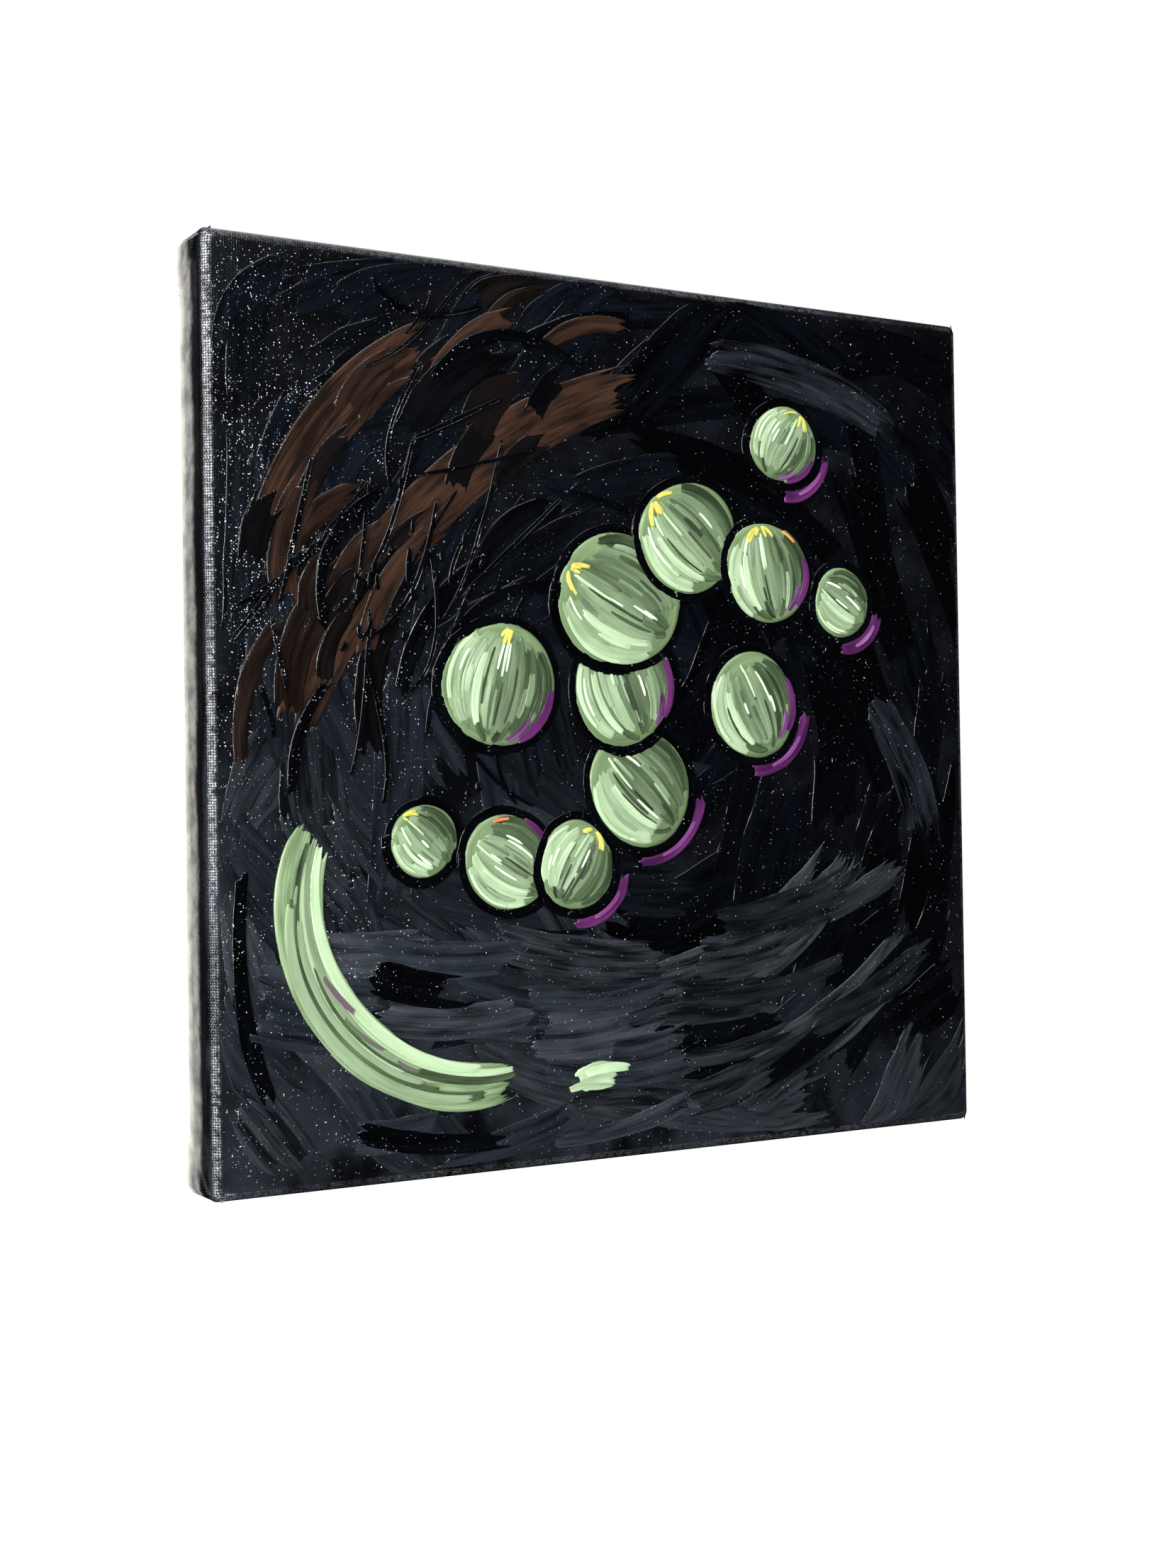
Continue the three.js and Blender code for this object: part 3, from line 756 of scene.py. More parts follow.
    def lay_warm(self) -> None:
        """Umber strokes over and beside the two large ones."""
        c, rng = self.colours, np.random.default_rng(52)
        for lot in range(self.warm):
            t, aside = rng.uniform(0, 0.95), rng.normal(0, 11)
            x, y = -110 + 110 * t + aside * 0.62, -4 + 118 * t ** 0.8 - aside * 0.62
            if lot % 3 == 0:
                x, y = x - 14, y + 26
            turn, length = 1.15 - 0.75 * t + rng.normal(0, 0.18), rng.uniform(22, 50)
            path = tuple((x + length * s * math.cos(turn - s * 0.5),
                          y + length * s * math.sin(turn - s * 0.5)) for s in (-0.5, 0, 0.5))
            warmth = rng.uniform(0, 1)
            light = between(c.ink, c.umber, warmth ** 1.4) if lot % 4 else c.ink
            self.lay(Family.UMBER, path, rng.uniform(5, 12), 0.22, light, between(c.black, c.bark, warmth),
                     rng.uniform(0.2, 0.6), Lot.WARM + lot, 0.15, 0.9, pace=1.5)

    def lay_comma(self) -> None:
        """The pale curved stroke at the lower left, with narrow pulls over it and a dab beside it."""
        c, rng = self.colours, np.random.default_rng(60)
        path = ((-97, -30), (-99, -68), (-76, -95), (-38, -101))
        self.lay(Family.PALE, path, 15, 0.5, c.pale, c.moss, 0.4, Lot.COMMA, 0.5, 0.6)
        for lot, aside in enumerate(rng.permutation(np.linspace(-5.4, 5.4, 14)), start=1):
            low, high = rng.uniform(0, 0.35), rng.uniform(0.65, 1)
            x, y = (np.polyval(np.polyfit((0, 0.33, 0.67, 1), axis, 3), np.linspace(low, high, 4))
                    for axis in zip(*path))
            lit = held(0.5 + aside / 11 + rng.normal(0, 0.3))
            self.lay(Family.PALE, pairs(x + aside * 0.75, y + aside * 0.8), rng.uniform(1.2, 4.0),
                     rng.uniform(0.25, 0.5), between(c.moss, c.mint, lit), between(c.deep, c.pale, lit),
                     rng.uniform(0.35, 0.7), Lot.COMMA + lot, 0.6, tip=0.25)
        for lot, (x, y, length) in enumerate([(-91, -76, 11), (-84, -87, 14), (-71, -96, 9)]):
            path = tuple((x + length * s, y - length * s * (1.1 - 0.3 * lot - 0.4 * s))
                         for s in (-0.5, 0, 0.5))
            self.lay(Family.PLUM, path, 1.8 - 0.3 * lot, 0.2, c.plum, c.moss, 0.2, Lot.VEIN + lot,
                     ragged=0.9, tip=0.2)
        for lot, (x, y, wide, dark) in enumerate([(-11, -103, 8, c.leaf), (-8, -101, 3, c.pale),
                                                  (-13, -105, 2.5, c.moss)]):
            self.lay(Family.PALE, ((x - 8, y - 1), (x, y + 0.5), (x + 8, y)), wide, 0.6, c.mint, dark, 0.6,
                     Lot.DAB + lot, 0.5, 0.35, 0.4)

    def lay_round(self, i: int, blobs: list[Blob]) -> None:
        """One round: a dark outline, a body, strokes from pole to pole over it, and touches.

        A pull runs from pole to pole like a meridian: at an angle a along it, it lies the
        radius times sin(a) along the axis and its own share of the radius times cos(a) aside.

        Args:
            i: its place among the rounds.
            blobs: the rounds.
        """
        c, blob = self.colours, blobs[i]
        rng = np.random.default_rng(100 + i)
        axis, size = 1.7 + rng.uniform(-1.0, 1.0), blob.radius

        def pull(family: Family, aside: float, low: float, high: float, width: float, thick: float,
                 light: Colour, dark: Colour, tone: float, tip: float = 0.35) -> None:
            """Lays one pull.

            Args:
                family: which paint it is in.
                width, thick, light, dark, tone, tip: fields of Stroke.
                aside: its share of the radius aside of the axis.
                low, high: the two angles along the axis that it runs between.
            """
            angle = np.linspace(low, high, 5)
            along, out = 0.93 * size * np.sin(angle), aside * size * np.cos(angle)
            path = pairs(blob.across + along * math.cos(axis) + out * math.sin(axis),
                         blob.up + along * math.sin(axis) - out * math.cos(axis))
            self.lay(family, path, width, thick, light, dark, tone, int(rng.integers(1e6)), 0.55, 0.35, tip,
                     pace=0.8)

        for k in range(4):
            path = blob.around(k * QUARTER + np.linspace(-0.25, QUARTER + 0.25, 5), 1.0)
            self.lay(Family.BLACK, path, rng.uniform(2.0, 4.4), 0.14, c.ink, c.black, 0.3,
                     int(rng.integers(1e6)), pace=1.0)
        self.skins[Family.SAGE].append(blob.skin(self.face, self.bed, c.leaf, c.moss))
        for aside in rng.permutation(np.linspace(-0.8, 0.8, 7)):
            lit = held(0.45 - 0.5 * aside + rng.normal(0, 0.16))
            edge = 1.25 - 0.25 * abs(aside)
            pull(Family.SAGE, aside, -edge + rng.uniform(0, 0.3), edge - rng.uniform(0, 0.3),
                 size * rng.uniform(0.24, 0.34), 0.3, between(c.moss, c.mint, lit),
                 between(c.deep, c.leaf, lit), rng.uniform(0.35, 0.65))
        for aside in rng.uniform(-0.8, 0.8, 9):
            start = rng.uniform(-1.1, 0.2)
            lit = held(0.5 - 0.5 * aside + rng.normal(0, 0.25))
            pull(Family.SAGE, aside, start, start + rng.uniform(0.5, 1.1), size * rng.uniform(0.05, 0.13),
                 0.3, between(c.moss, c.mint, lit), between(c.deep, c.moss, lit), rng.uniform(0.2, 0.7))
        for aside in rng.uniform(-0.6, 0.9, 3):
            start = rng.uniform(-1.2, -0.4)
            pull(Family.SAGE, aside, start, start + rng.uniform(0.6, 1.3), size * 0.05, 0.25,
                 c.moss, c.deep, 0.2, 0.2)
        for aside in rng.uniform(-0.7, 0.7, 4):
            pull(Family.SAGE, aside, -1.45, rng.uniform(-0.9, -0.5), size * rng.uniform(0.06, 0.12), 0.3,
                 c.moss, c.deep, rng.uniform(0.2, 0.7), 0.2)
        for aside in rng.uniform(-0.95, 0.5, 4):
            start = rng.uniform(-0.9, 0.5)
            pull(Family.PALE, aside, start, start + rng.uniform(0.3, 0.9), 0.7, 0.5, c.foam, c.mint, 0.8, 0.2)
        pull(Family.SAGE, 0.86, -0.9, 0.9, size * 0.16, 0.3, c.moss, c.deep, 0.2)
        pull(Family.PALE, -0.5 + rng.normal(0, 0.12), -0.9, 0.55, size * 0.14, 0.5, c.mint, c.leaf, 0.7)
        pull(Family.PALE, -0.9, -0.5, 0.8, size * 0.07, 0.4, c.mint, c.pale, 0.6)
        pull(Family.PALE, rng.uniform(-0.2, 0.1), 0.1, 1.1, size * 0.05, 0.45, c.mint, c.pale, 0.9)
        if i % 2:
            pull(Family.PLUM, 0.93, -1.0, 0.2, size * 0.17, 0.4, c.plum, c.wine, 0.45)
            pull(Family.PLUM, 0.7, -1.15, -0.4, size * 0.1, 0.3, c.lilac, c.wine, 0.3, 0.2)
        if i % 3 != 1:
            for aside in rng.uniform(-0.75, 0.75, 5):
                pull(Family.PALE, aside, rng.uniform(0.7, 1.0), 1.5, size * rng.uniform(0.05, 0.1), 0.4,
                     c.gold, c.lime, rng.uniform(0.3, 0.9), 0.2)
        if i % 4 == 1:
            pull(Family.PALE, 0.88, 0.5, 0.95, size * 0.07, 0.3, c.ember, c.gold, 0.85)

    def lay_crescents(self, blobs: list[Blob]) -> None:
        """The plum arcs on bare ground below the outer rounds.

        Args:
            blobs: the rounds.
        """
        c, lot = self.colours, Lot.CRESCENT
        for blob in blobs:
            reach = blob.radius * 1.055 + 3.2
            sweep = self.lean - QUARTER + np.linspace(-0.8, 0.8, 9)
            x, y = blob.across + reach * np.cos(sweep), blob.up + reach * np.sin(sweep)
            if all(np.all(np.hypot(o.across - x, o.up - y) > o.radius + 2.6) for o in blobs):
                path = pairs(x[::2], y[::2])
                for *sizes, tip in ((path, 5, 0.5, c.plum, c.wine, 0.3),
                                    (path[1:4], 1.4, 0.3, c.lilac, c.plum, 0.2)):
                    self.lay(Family.PLUM, *sizes, 0.3, lot, 0.4, 0.6, tip, pace=0.8)
                    lot += 1

    def paint(self) -> dict[Family, Piece]:
        """Lays everything and joins each paint's surfaces into one piece."""
        blobs = self.blobs()
        for step in (self.lay_ground, self.lay_main_strokes, self.lay_lower, self.lay_warm, self.lay_crests,
                     self.lay_comma):
            step()
        self.lay_crescents(blobs)
        for i in range(len(blobs)):
            self.lay_round(i, blobs)
        pieces = {}
        for family, skins in self.skins.items():
            slot, packed = family.value
            piece = join_skins(f"{slot}_layer", skins)
            LOG.info("%s: %d surfaces, %d points", piece.name, len(skins), len(piece.data.vertices))
            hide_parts(*packed)
            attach(piece, "root")
            pieces[family] = piece
        return pieces


# ---------------------------------------------------------------- the cloth, in millimetres
def mark_cloth(piece: Piece, corners: Array, threads: Array, run: Array) -> None:
    """Stores the thread map and how far along the cloth each point lies.

    Args:
        piece: the cloth.
        corners: its polygons' point numbers.
        threads: each point's place on the flat sheet, from 0 to 1.
        run: millimetres past the start of the rounded shoulder.
    """
    layer = piece.data.uv_layers.new(name="threads")
    layer.data.foreach_set("uv", threads.reshape(-1, 2)[corners].astype(np.float32).ravel())
    store(piece, "run", "FLOAT", run)


@dataclass(frozen=True)
class Cloth:
    """The canvas: face, four sides and the flaps turned over the back, as one sheet."""

    face: Face              # the stretched cloth's place
    back_edge: float = 1.2  # radius of the edge where it turns over the back
    corner: float = 2.4     # radius of the four upright corners
    turnover: float = 26.0  # how far it reaches in over the back
    thick: float = 0.6      # its thickness
    soft: float = 8.0       # how far before the shoulder those corners start to round
    sag: float = 0.12       # how far the sides sink in between the edges
    wave: float = 54.0      # length of the sag's waves along a side
    cut: float = 0.5        # how far the cut edge wavers

    def spans(self) -> tuple[float, float, float, float, float]:
        """Where the face, shoulder, side, back edge and flap end, measured along the cloth."""
        flat = self.face.half / MM - SHOULDER
        shoulder = flat + SHOULDER * QUARTER
        side = shoulder + (self.face.back - self.face.front) / MM - SHOULDER - self.back_edge
        turned = side + self.back_edge * QUARTER
        return flat, shoulder, side, turned, turned + self.turnover - self.back_edge

    def profile(self, run: Array) -> tuple[Array, Array]:
        """Distance out from the middle and depth behind the face, at distances along the cloth.

        They follow a straight face, a quarter circle, a straight side, a smaller quarter circle
        and a straight flap.

        Args:
            run: the distances, from the face's middle.

        Returns:
            The distances out and the depths.
        """
        flat, shoulder, side, turned, _ = self.spans()
        first = np.clip((run - flat) / SHOULDER, 0, QUARTER)
        second = np.clip((run - side) / self.back_edge, 0, QUARTER)
        out = (np.minimum(run, flat) + SHOULDER * np.sin(first) - self.back_edge * (1 - np.cos(second))
               - np.maximum(run - turned, 0))
        down = (SHOULDER * (1 - np.cos(first)) + np.clip(run - shoulder, 0, side - shoulder)
                + self.back_edge * np.sin(second))
        return np.minimum(out, self.face.half / MM), down

    def build(self) -> Piece:
        """Makes the sheet.

        A square grid of distances a and b along the cloth is drawn over the stretcher in square
        rings: the larger of the two says how far out and how deep a ring is, and the smaller one's
        share of it says how far along. A ring's corners are rounded: the last stretch before a
        corner, as long as the radius, becomes an eighth of a circle. The sides sag by a sine and
        the cut edge wavers.
        """
        spans = flat, shoulder, side, turned, end = self.spans()
        steps = np.concatenate([np.linspace(start, stop, count)[:-1] for start, stop, count in
                                zip((0, *spans), spans, (77, 8, 8, 5, 11))] + [[end]])
        line = np.concatenate([-steps[:0:-1], steps])
        a, b = np.meshgrid(line, line, indexing="ij")
        run = np.maximum(np.abs(a), np.abs(b))
        out, down = self.profile(run)
        share = np.divide(out, run, out=np.ones_like(run), where=run > 0)
        x, z = a * share, b * share
        round_by = self.corner * np.clip((run - flat + self.soft) / (shoulder - flat + self.soft), 0.001, 1)
        near = np.minimum(np.abs(x), np.abs(z))
        over = np.clip(near - (out - round_by), 0, None)
        bend = over / round_by * math.pi / 4
        far = out - round_by * (1 - np.cos(bend))
        near = np.where(over > 0, out - round_by * (1 - np.sin(bend)), near)
        a_far = np.abs(a) >= np.abs(b)
        x, z = np.sign(a) * np.where(a_far, far, near), np.sign(b) * np.where(a_far, near, far)

        def pushed(x: Array, z: Array, out: Array) -> tuple[Array, Array]:
            """The rings' points moved out by some distances, each at right angles to its own side."""
            return (x + np.where(a_far, np.sign(a) * out, 0), z + np.where(a_far, 0, np.sign(b) * out))

        sag = self.sag * np.sin(math.pi * np.clip((run - shoulder) / (side - shoulder), 0, 1))
        x, z = pushed(x, z, -(sag + sag * np.sin(np.where(a_far, z, x) * 2 * math.pi / self.wave)))
        cut = self.cut * wander(np.random.default_rng(7), 15, np.where(a_far, z, x) / SQUARE + 0.5)
        x, z = pushed(x, z, cut * np.clip((run - turned) / (end - turned), 0, 1))
        quads = grid_quads(len(line), len(line))
        corners = quads.ravel()
        piece = make_mesh("canvas_sheet", self.face.place(x, down, z), corners, np.full(len(quads), 4))
        threads = np.stack([np.where(a_far, a, x), np.where(a_far, z, b)], -1) / (2 * end) + 0.5
        mark_cloth(piece, corners, threads, run - flat)
        solid = piece.modifiers.new("thickness", "SOLIDIFY")
        solid.thickness, solid.offset = self.thick * MM, -1
        solid.material_offset = solid.material_offset_rim = 1
        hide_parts("canvas")
        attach(piece, "root")
        return piece


def eased(gap: Array, over: float) -> Array:
    """A smooth step from 0 to 1 over a distance."""
    share = np.clip(gap / over, 0, 1)
    return share * share * (3 - 2 * share)


@dataclass(frozen=True)
class CornerFolds:
    """The doubled cloth at the four corners, folded over the left and right sides."""

    cloth: Cloth          # the canvas that they lie on
    width: float = 15.5   # how far a fold reaches from the corner at the back edge
    rise: float = 0.72    # how far it stands proud
    roll: float = 0.7     # radius of its crease
    root: float = 0.75    # how far its underside lies in the cloth
    doubled: float = 0.8  # how much further round its paint seems to lie, since it covers the shoulder's

    def rolled(self, gap: Array) -> Array:
        """A quarter circle from 0 to 1 over the crease's radius."""
        return np.sqrt(np.clip(1 - (1 - np.clip(gap / self.roll, 0, 1)) ** 2, 0, 1))

    def patch(self) -> tuple[Array, Array, Array, Array]:
        """The right top fold as a flat tube, from the front corner over the back edge to the cut.

        Every row crosses the fold at one distance along the cloth. On the side it starts at the
        corner and ends at the crease, whose distance from the corner grows evenly towards the
        back. On the back it starts at the mitre and narrows to the cut edge. The height is the
        rise times two easings: a quarter circle at the crease, a smooth step at the other edge.

        Returns:
            Places across, behind the face and up, and distances along the cloth, as equal grids.
        """
        flat, _, side, turned, end = self.cloth.spans()
        half = self.cloth.face.half / MM
        run = np.concatenate([np.linspace(flat + 1.2, side, 40), np.linspace(side, turned, 6)[1:],
                              np.linspace(turned, end - 0.4, 60)[1:]])[:, None]
        out, down = self.cloth.profile(run)
        on_back = np.clip((run - side) / (turned - side), 0, 1)
        wide = self.width * np.clip((run - flat - 1.0) / (side - flat - 1.0), 0, 1)
        inset = (half - out.min() - self.width + 1.0) * np.clip((run - turned) / (end - turned), 0, 1)
        inner = half - wide - inset
        outer = (half - 1.1) * (1 - on_back) + (out - 0.2) * on_back
        q = (1 - np.cos(np.linspace(0, 1, 26) * np.pi))[None, :] / 2
        across = outer + (inner - outer) * q
        near, far = outer - across, across - inner
        lift = (self.rolled(far) * eased(near, 1.8) * (1 - on_back)
                + self.rolled(near) * eased(far, 4.0) * on_back)
        sunk = 0.55 - 0.4 * on_back
        lift = lift * (self.rise + sunk) - sunk
        slope = np.clip((run - side) / self.cloth.back_edge, 0, QUARTER)
        under = -self.root + 0 * lift
        x, deep = (np.concatenate([start + above * turn, start + under * turn], 1)
                   for start, turn, above in ((out, np.cos(slope), lift), (down, np.sin(slope), lift)))
        z = np.concatenate([across, across[:, ::-1]], 1)
        return x, deep, z, run + 0 * z

    def build(self) -> Piece:
        """Makes the four folds, mirror images of one another, as one piece."""
        flat, _, _, _, end = self.cloth.spans()
        x, deep, z, run = self.patch()
        rows, columns = run.shape
        quads = grid_quads(rows, columns, closed=True)
        caps = np.arange(columns)[::-1], (rows - 1) * columns + np.arange(columns)
        points, corners, places = [], [], []
        for k, (right, top) in enumerate(product((1, -1), (1, -1))):
            points.append(self.cloth.face.place(right * x, deep, top * z))
            polygons = [part[..., ::right * top] for part in (quads, *caps)]
            corners.append(np.concatenate([part.ravel() for part in polygons]) + k * run.size)
            places.append(top * z.ravel())
        corners, run = np.concatenate(corners), np.tile(run.ravel(), 4)
        sizes = np.tile([*[4] * len(quads), columns, columns], 4)
        piece = make_mesh("canvas_corner_folds", np.concatenate(points), corners, sizes)
        threads = np.stack([run, np.concatenate(places)], -1) / (2 * end) + 0.5
        mark_cloth(piece, corners, threads, run - flat + self.doubled)
        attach(piece, "root")
        return piece


@dataclass(frozen=True)
class FrayedEdge:
    """Loose cotton threads along the cut edge of the flaps."""

    cloth: Cloth          # the canvas that they belong to
    count: int = 170      # how many there are on a side
    thread: float = 0.11  # radius of a thread

    def build(self) -> Piece:
        """Makes the threads: thin four-sided tubes that leave the edge and curl at random."""
        rng = np.random.default_rng(23)
        out, down = self.cloth.profile(np.array([self.cloth.spans()[-1]]))
        total, steps, ring = 4 * self.count, 6, np.arange(4)
        at = rng.uniform(-0.97, 0.97, total)[:, None] * out
        length = rng.gamma(1.6, 1.3, total)[:, None] + 0.5
        lean, curl = rng.normal(0, 0.5, (total, 1)), rng.normal(0, 0.9, (total, 1))
        t = np.linspace(0, 1, steps)[None, :]
        turn = lean + curl * t
        inward = out + 0.9 - np.cumsum(np.cos(turn) * length / steps, axis=1)
        along = at + np.cumsum(np.sin(turn) * length / steps, axis=1)
        lift = rng.uniform(-0.35, -0.05, (total, 1)) + rng.normal(0, 0.12, (total, 1)) * t
        thick = (self.thread * rng.uniform(0.7, 1.2, (total, 1)) * (1 - 0.5 * t))[..., None]
        x = along[..., None] + thick * np.cos(ring * QUARTER)
        z = inward[..., None] + 0 * x
        y = (down + lift)[..., None] + thick * np.sin(ring * QUARTER)
        side = np.repeat(ring, self.count)[:, None, None] * QUARTER
        points = self.cloth.face.place(x * np.cos(side) + z * np.sin(side), y,
                                       z * np.cos(side) - x * np.sin(side))
        polygons = np.concatenate([grid_quads(steps, 4, closed=True), ring[None, ::-1],
                                   (steps - 1) * 4 + ring[None, :]])
        corners = (polygons[None] + np.arange(total)[:, None, None] * steps * 4).reshape(-1)
        piece = make_mesh("canvas_frayed_threads", points, corners, np.full(total * len(polygons), 4))
        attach(piece, "root")
        return piece


@dataclass(frozen=True)
class Staples:
    """The staples: flattened wire, bent down at both ends into legs, in millimetres."""

    middle: float       # Z of the picture's middle, in metres
    wide: float = 1.2   # the wire's width
    thick: float = 0.7  # the wire's thickness
    bend: float = 0.75  # radius of the two bends, to the wire's middle

    def path(self, crown: float, leg: float) -> tuple[Array, Array, Array]:
        """The wire's middle line.

        Args:
            crown: the crown's length over all.
            leg: how deep the legs reach.

        Returns:
            Along the crown, outwards from the wood, and the angle that the wire has turned.
        """
        half, turn = crown / 2 - self.thick / 2, np.linspace(0, QUARTER, 6)
        along = np.concatenate([[half], half - self.bend * (1 - np.cos(turn))])
        out = np.concatenate([[-leg], -self.thick / 2 - self.bend + self.bend * np.sin(turn)])
        angle = np.concatenate([[0], turn])
        return (np.concatenate([along, -along[::-1]]), np.concatenate([out, out[::-1]]),
                np.concatenate([angle, np.pi - angle[::-1]]))

    def wire(self, name: str, level: bool, slanted: bool) -> Array:
        """One staple's points, by row round the wire.

        Args:
            name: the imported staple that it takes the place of.
            level: whether its crown runs along X, and not along Z.
            slanted: whether it sits in a corner, across the mitre.

        Returns:
            The points, in metres.
        """
        low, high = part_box(name)
        middle = (low + high) / 2
        heading = np.array((1.0, 0.0) if level else (0.0, 1.0))
        crown = (high.x - low.x, high.z - low.z) @ heading / MM
        if slanted:
            heading = np.sign((middle.x, middle.z - self.middle)) / math.sqrt(2)
            crown = (high.x - low.x) / MM * math.sqrt(2) - self.wide
        around = np.linspace(0, 2 * np.pi, 12, endpoint=False)
        across, lift = (size / 2 * (np.abs(wave) ** 0.5 * np.sign(wave))
                        for size, wave in ((self.wide, np.cos(around)), (self.thick, np.sin(around))))
        along, out, angle = self.path(crown, (high.y - low.y) / MM)
        a = along[:, None] + lift * np.cos(angle)[:, None]
        y = out[:, None] + lift * np.sin(angle)[:, None]
        x = middle.x + (a * heading[0] - across * heading[1]) * MM
        z = middle.z + (a * heading[1] + across * heading[0]) * MM
        return np.stack([x, high.y + y * MM, z], -1)

    def build(self) -> Piece:
        """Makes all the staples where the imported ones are."""
        wires = {}
        for side, count in (("top", 4), ("left", 6), ("bottom", 4), ("right", 6)):
            for k in range(1, count + 1):
                name = f"staple_{side}_{k}"
                wires[name] = self.wire(name, side in ("top", "bottom"), k > 4)
        points = np.stack(list(wires.values()))
        total, rows, columns, _ = points.shape
        quads = grid_quads(rows, columns, closed=True)[:, ::-1]
        starts = (np.arange(total) * rows * columns)[:, None]
        caps = np.stack([np.arange(columns), (rows - 1) * columns + np.arange(columns)[::-1]])
        corners = np.concatenate([(starts + part.reshape(1, -1)).ravel() for part in (quads, caps)])
        sizes = np.repeat([4, columns], [len(quads) * total, 2 * total])
        piece = make_mesh("staple_wires", points.reshape(-1, 3), corners, sizes)
        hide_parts(*wires)
        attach(piece, "root")
        return piece


# ---------------------------------------------------------------- finishes
PITCH = 0.71         # distance from one thread of the canvas to the next, in millimetres
# white of the painted highlight on thread tops
PAINTED_HIGHLIGHT_WHITE = shade(238, 242, 248)


def weave(across: Value, up: Value) -> Value:
    """Height of a plain weave, from 0 to 1, from counts of the upright and the level threads.

    With A and B the sines of pi times the two thread counts, the threads one way stand at
    0.6|A| + 0.4AB and those the other way at 0.6|B| - 0.4AB, and the higher one shows.
    """
    a, b = (across * math.pi).math("SINE"), (up * math.pi).math("SINE")
    crossed = a * b * 0.4
    return (a.math("ABSOLUTE") * 0.6 + crossed).math("MAXIMUM", b.math("ABSOLUTE") * 0.6 - crossed)


def object_threads(nodes: Nodes) -> tuple[Value, Value]:
    """Thread counts on the face, from Object coordinates, slightly wavering."""
    place, x, z = nodes.spot()
    waver = nodes.noise(place, 90.0, 1.0) * 0.7
    return x / (PITCH * MM) + waver, z / (PITCH * MM) + waver


def glints(nodes: Nodes, height: Value) -> Value:
    """Painted glints: single thread tops painted pale as highlights of the light, in scattered dots, most of
    them on the left.

    Args:
        nodes: the material's tree.
        height: the weave's height there.

    Returns:
        The share of the painted highlight colour.
    """
    place, x, z = nodes.spot()
    rows = nodes.noise(nodes.scaled(place, 1.0, 1.0, 0.18), 820.0).step(0.4, 0.58)
    patch = nodes.noise(place, 30.0, 3.0, 0.6)
    left = (x - z * 0.25 + (patch - 0.5) * 0.22).step(0.02, -0.15)
    belt = (z + 0.075).math("ABSOLUTE").step(0.1, 0.03) * 0.5 + 0.5
    dots = nodes.noise(place, 1900.0, 1.0) + left * left * rows * belt * 0.15 + left * 0.02
    return dots.step(0.748, 0.78) * height.step(0.4, 0.7)


def bareness(nodes: Nodes) -> Value:
    """How thin the paint is over the weave: 1 along the left of the face, near 0 elsewhere."""
    place, x, z = nodes.spot()
    patch = nodes.noise(place, 26.0, 3.0, 0.6)
    slub = nodes.noise(nodes.scaled(place, 1.0, 1.0, 0.25), 520.0, 2.0, 0.6).step(0.38, 0.66)
    return (x - z * 0.3 + (patch - 0.5) * 0.14).step(-0.02, -0.12) * (slub * 0.8 + 0.2) * 0.94 + 0.06


@dataclass(frozen=True)
class PaintLook:
    """Artist's acrylic, brushed on."""

    name: str              # the material's name
    gloss: float = 0.2     # its roughness
    contrast: float = 1.3  # how strongly streaks of the two colours part
    hair: float = 0.05     # depth of the bristle marks, in millimetres
    cloth: float = 0.05    # depth of the weave that shows through, in millimetres
    painted_highlight: float = 0.0    # how strongly thread tops are painted pale as glints, a painted highlight

    def build(self) -> Material:
        """Makes the material."""
        nodes = Nodes.material(self.name)
        grain = nodes.attribute("grain", "Vector")
        broad = nodes.noise(nodes.scaled(grain, 0.05, 1.0, 0.42), 1.0)
        fine = nodes.noise(nodes.scaled(grain, 0.07, 1.0, 2.1), 1.0, 3.0, 0.6)
        patch = nodes.noise(nodes.place(), 130.0, 3.0)
        streak = broad * 0.55 + fine * 0.35 + patch * 0.1
        tone = Value(nodes, nodes.attribute("tone", "Fac"))
        share = (tone + (streak - 0.5) * (2.2 * self.contrast)).math("ADD", 0.0, clamp=True)
        colour = nodes.mix(share, nodes.attribute("dark", "Color"), nodes.attribute("light", "Color"))
        height = weave(*object_threads(nodes))
        # painted highlight: glints painted pale onto thread tops
        colour = nodes.mix(glints(nodes, height) * self.painted_highlight, colour, shade(238, 241, 246))
        threads = nodes.bump(height * bareness(nodes), self.cloth * MM)
        hairs = nodes.bump(fine * 0.7 + broad * 0.3, self.hair * MM * 2, below=threads)
        rough = nodes.noise(nodes.place(), 420.0) * 0.12 + (self.gloss - 0.06) + fine * 0.06
        return nodes.finish(colour, rough, hairs)


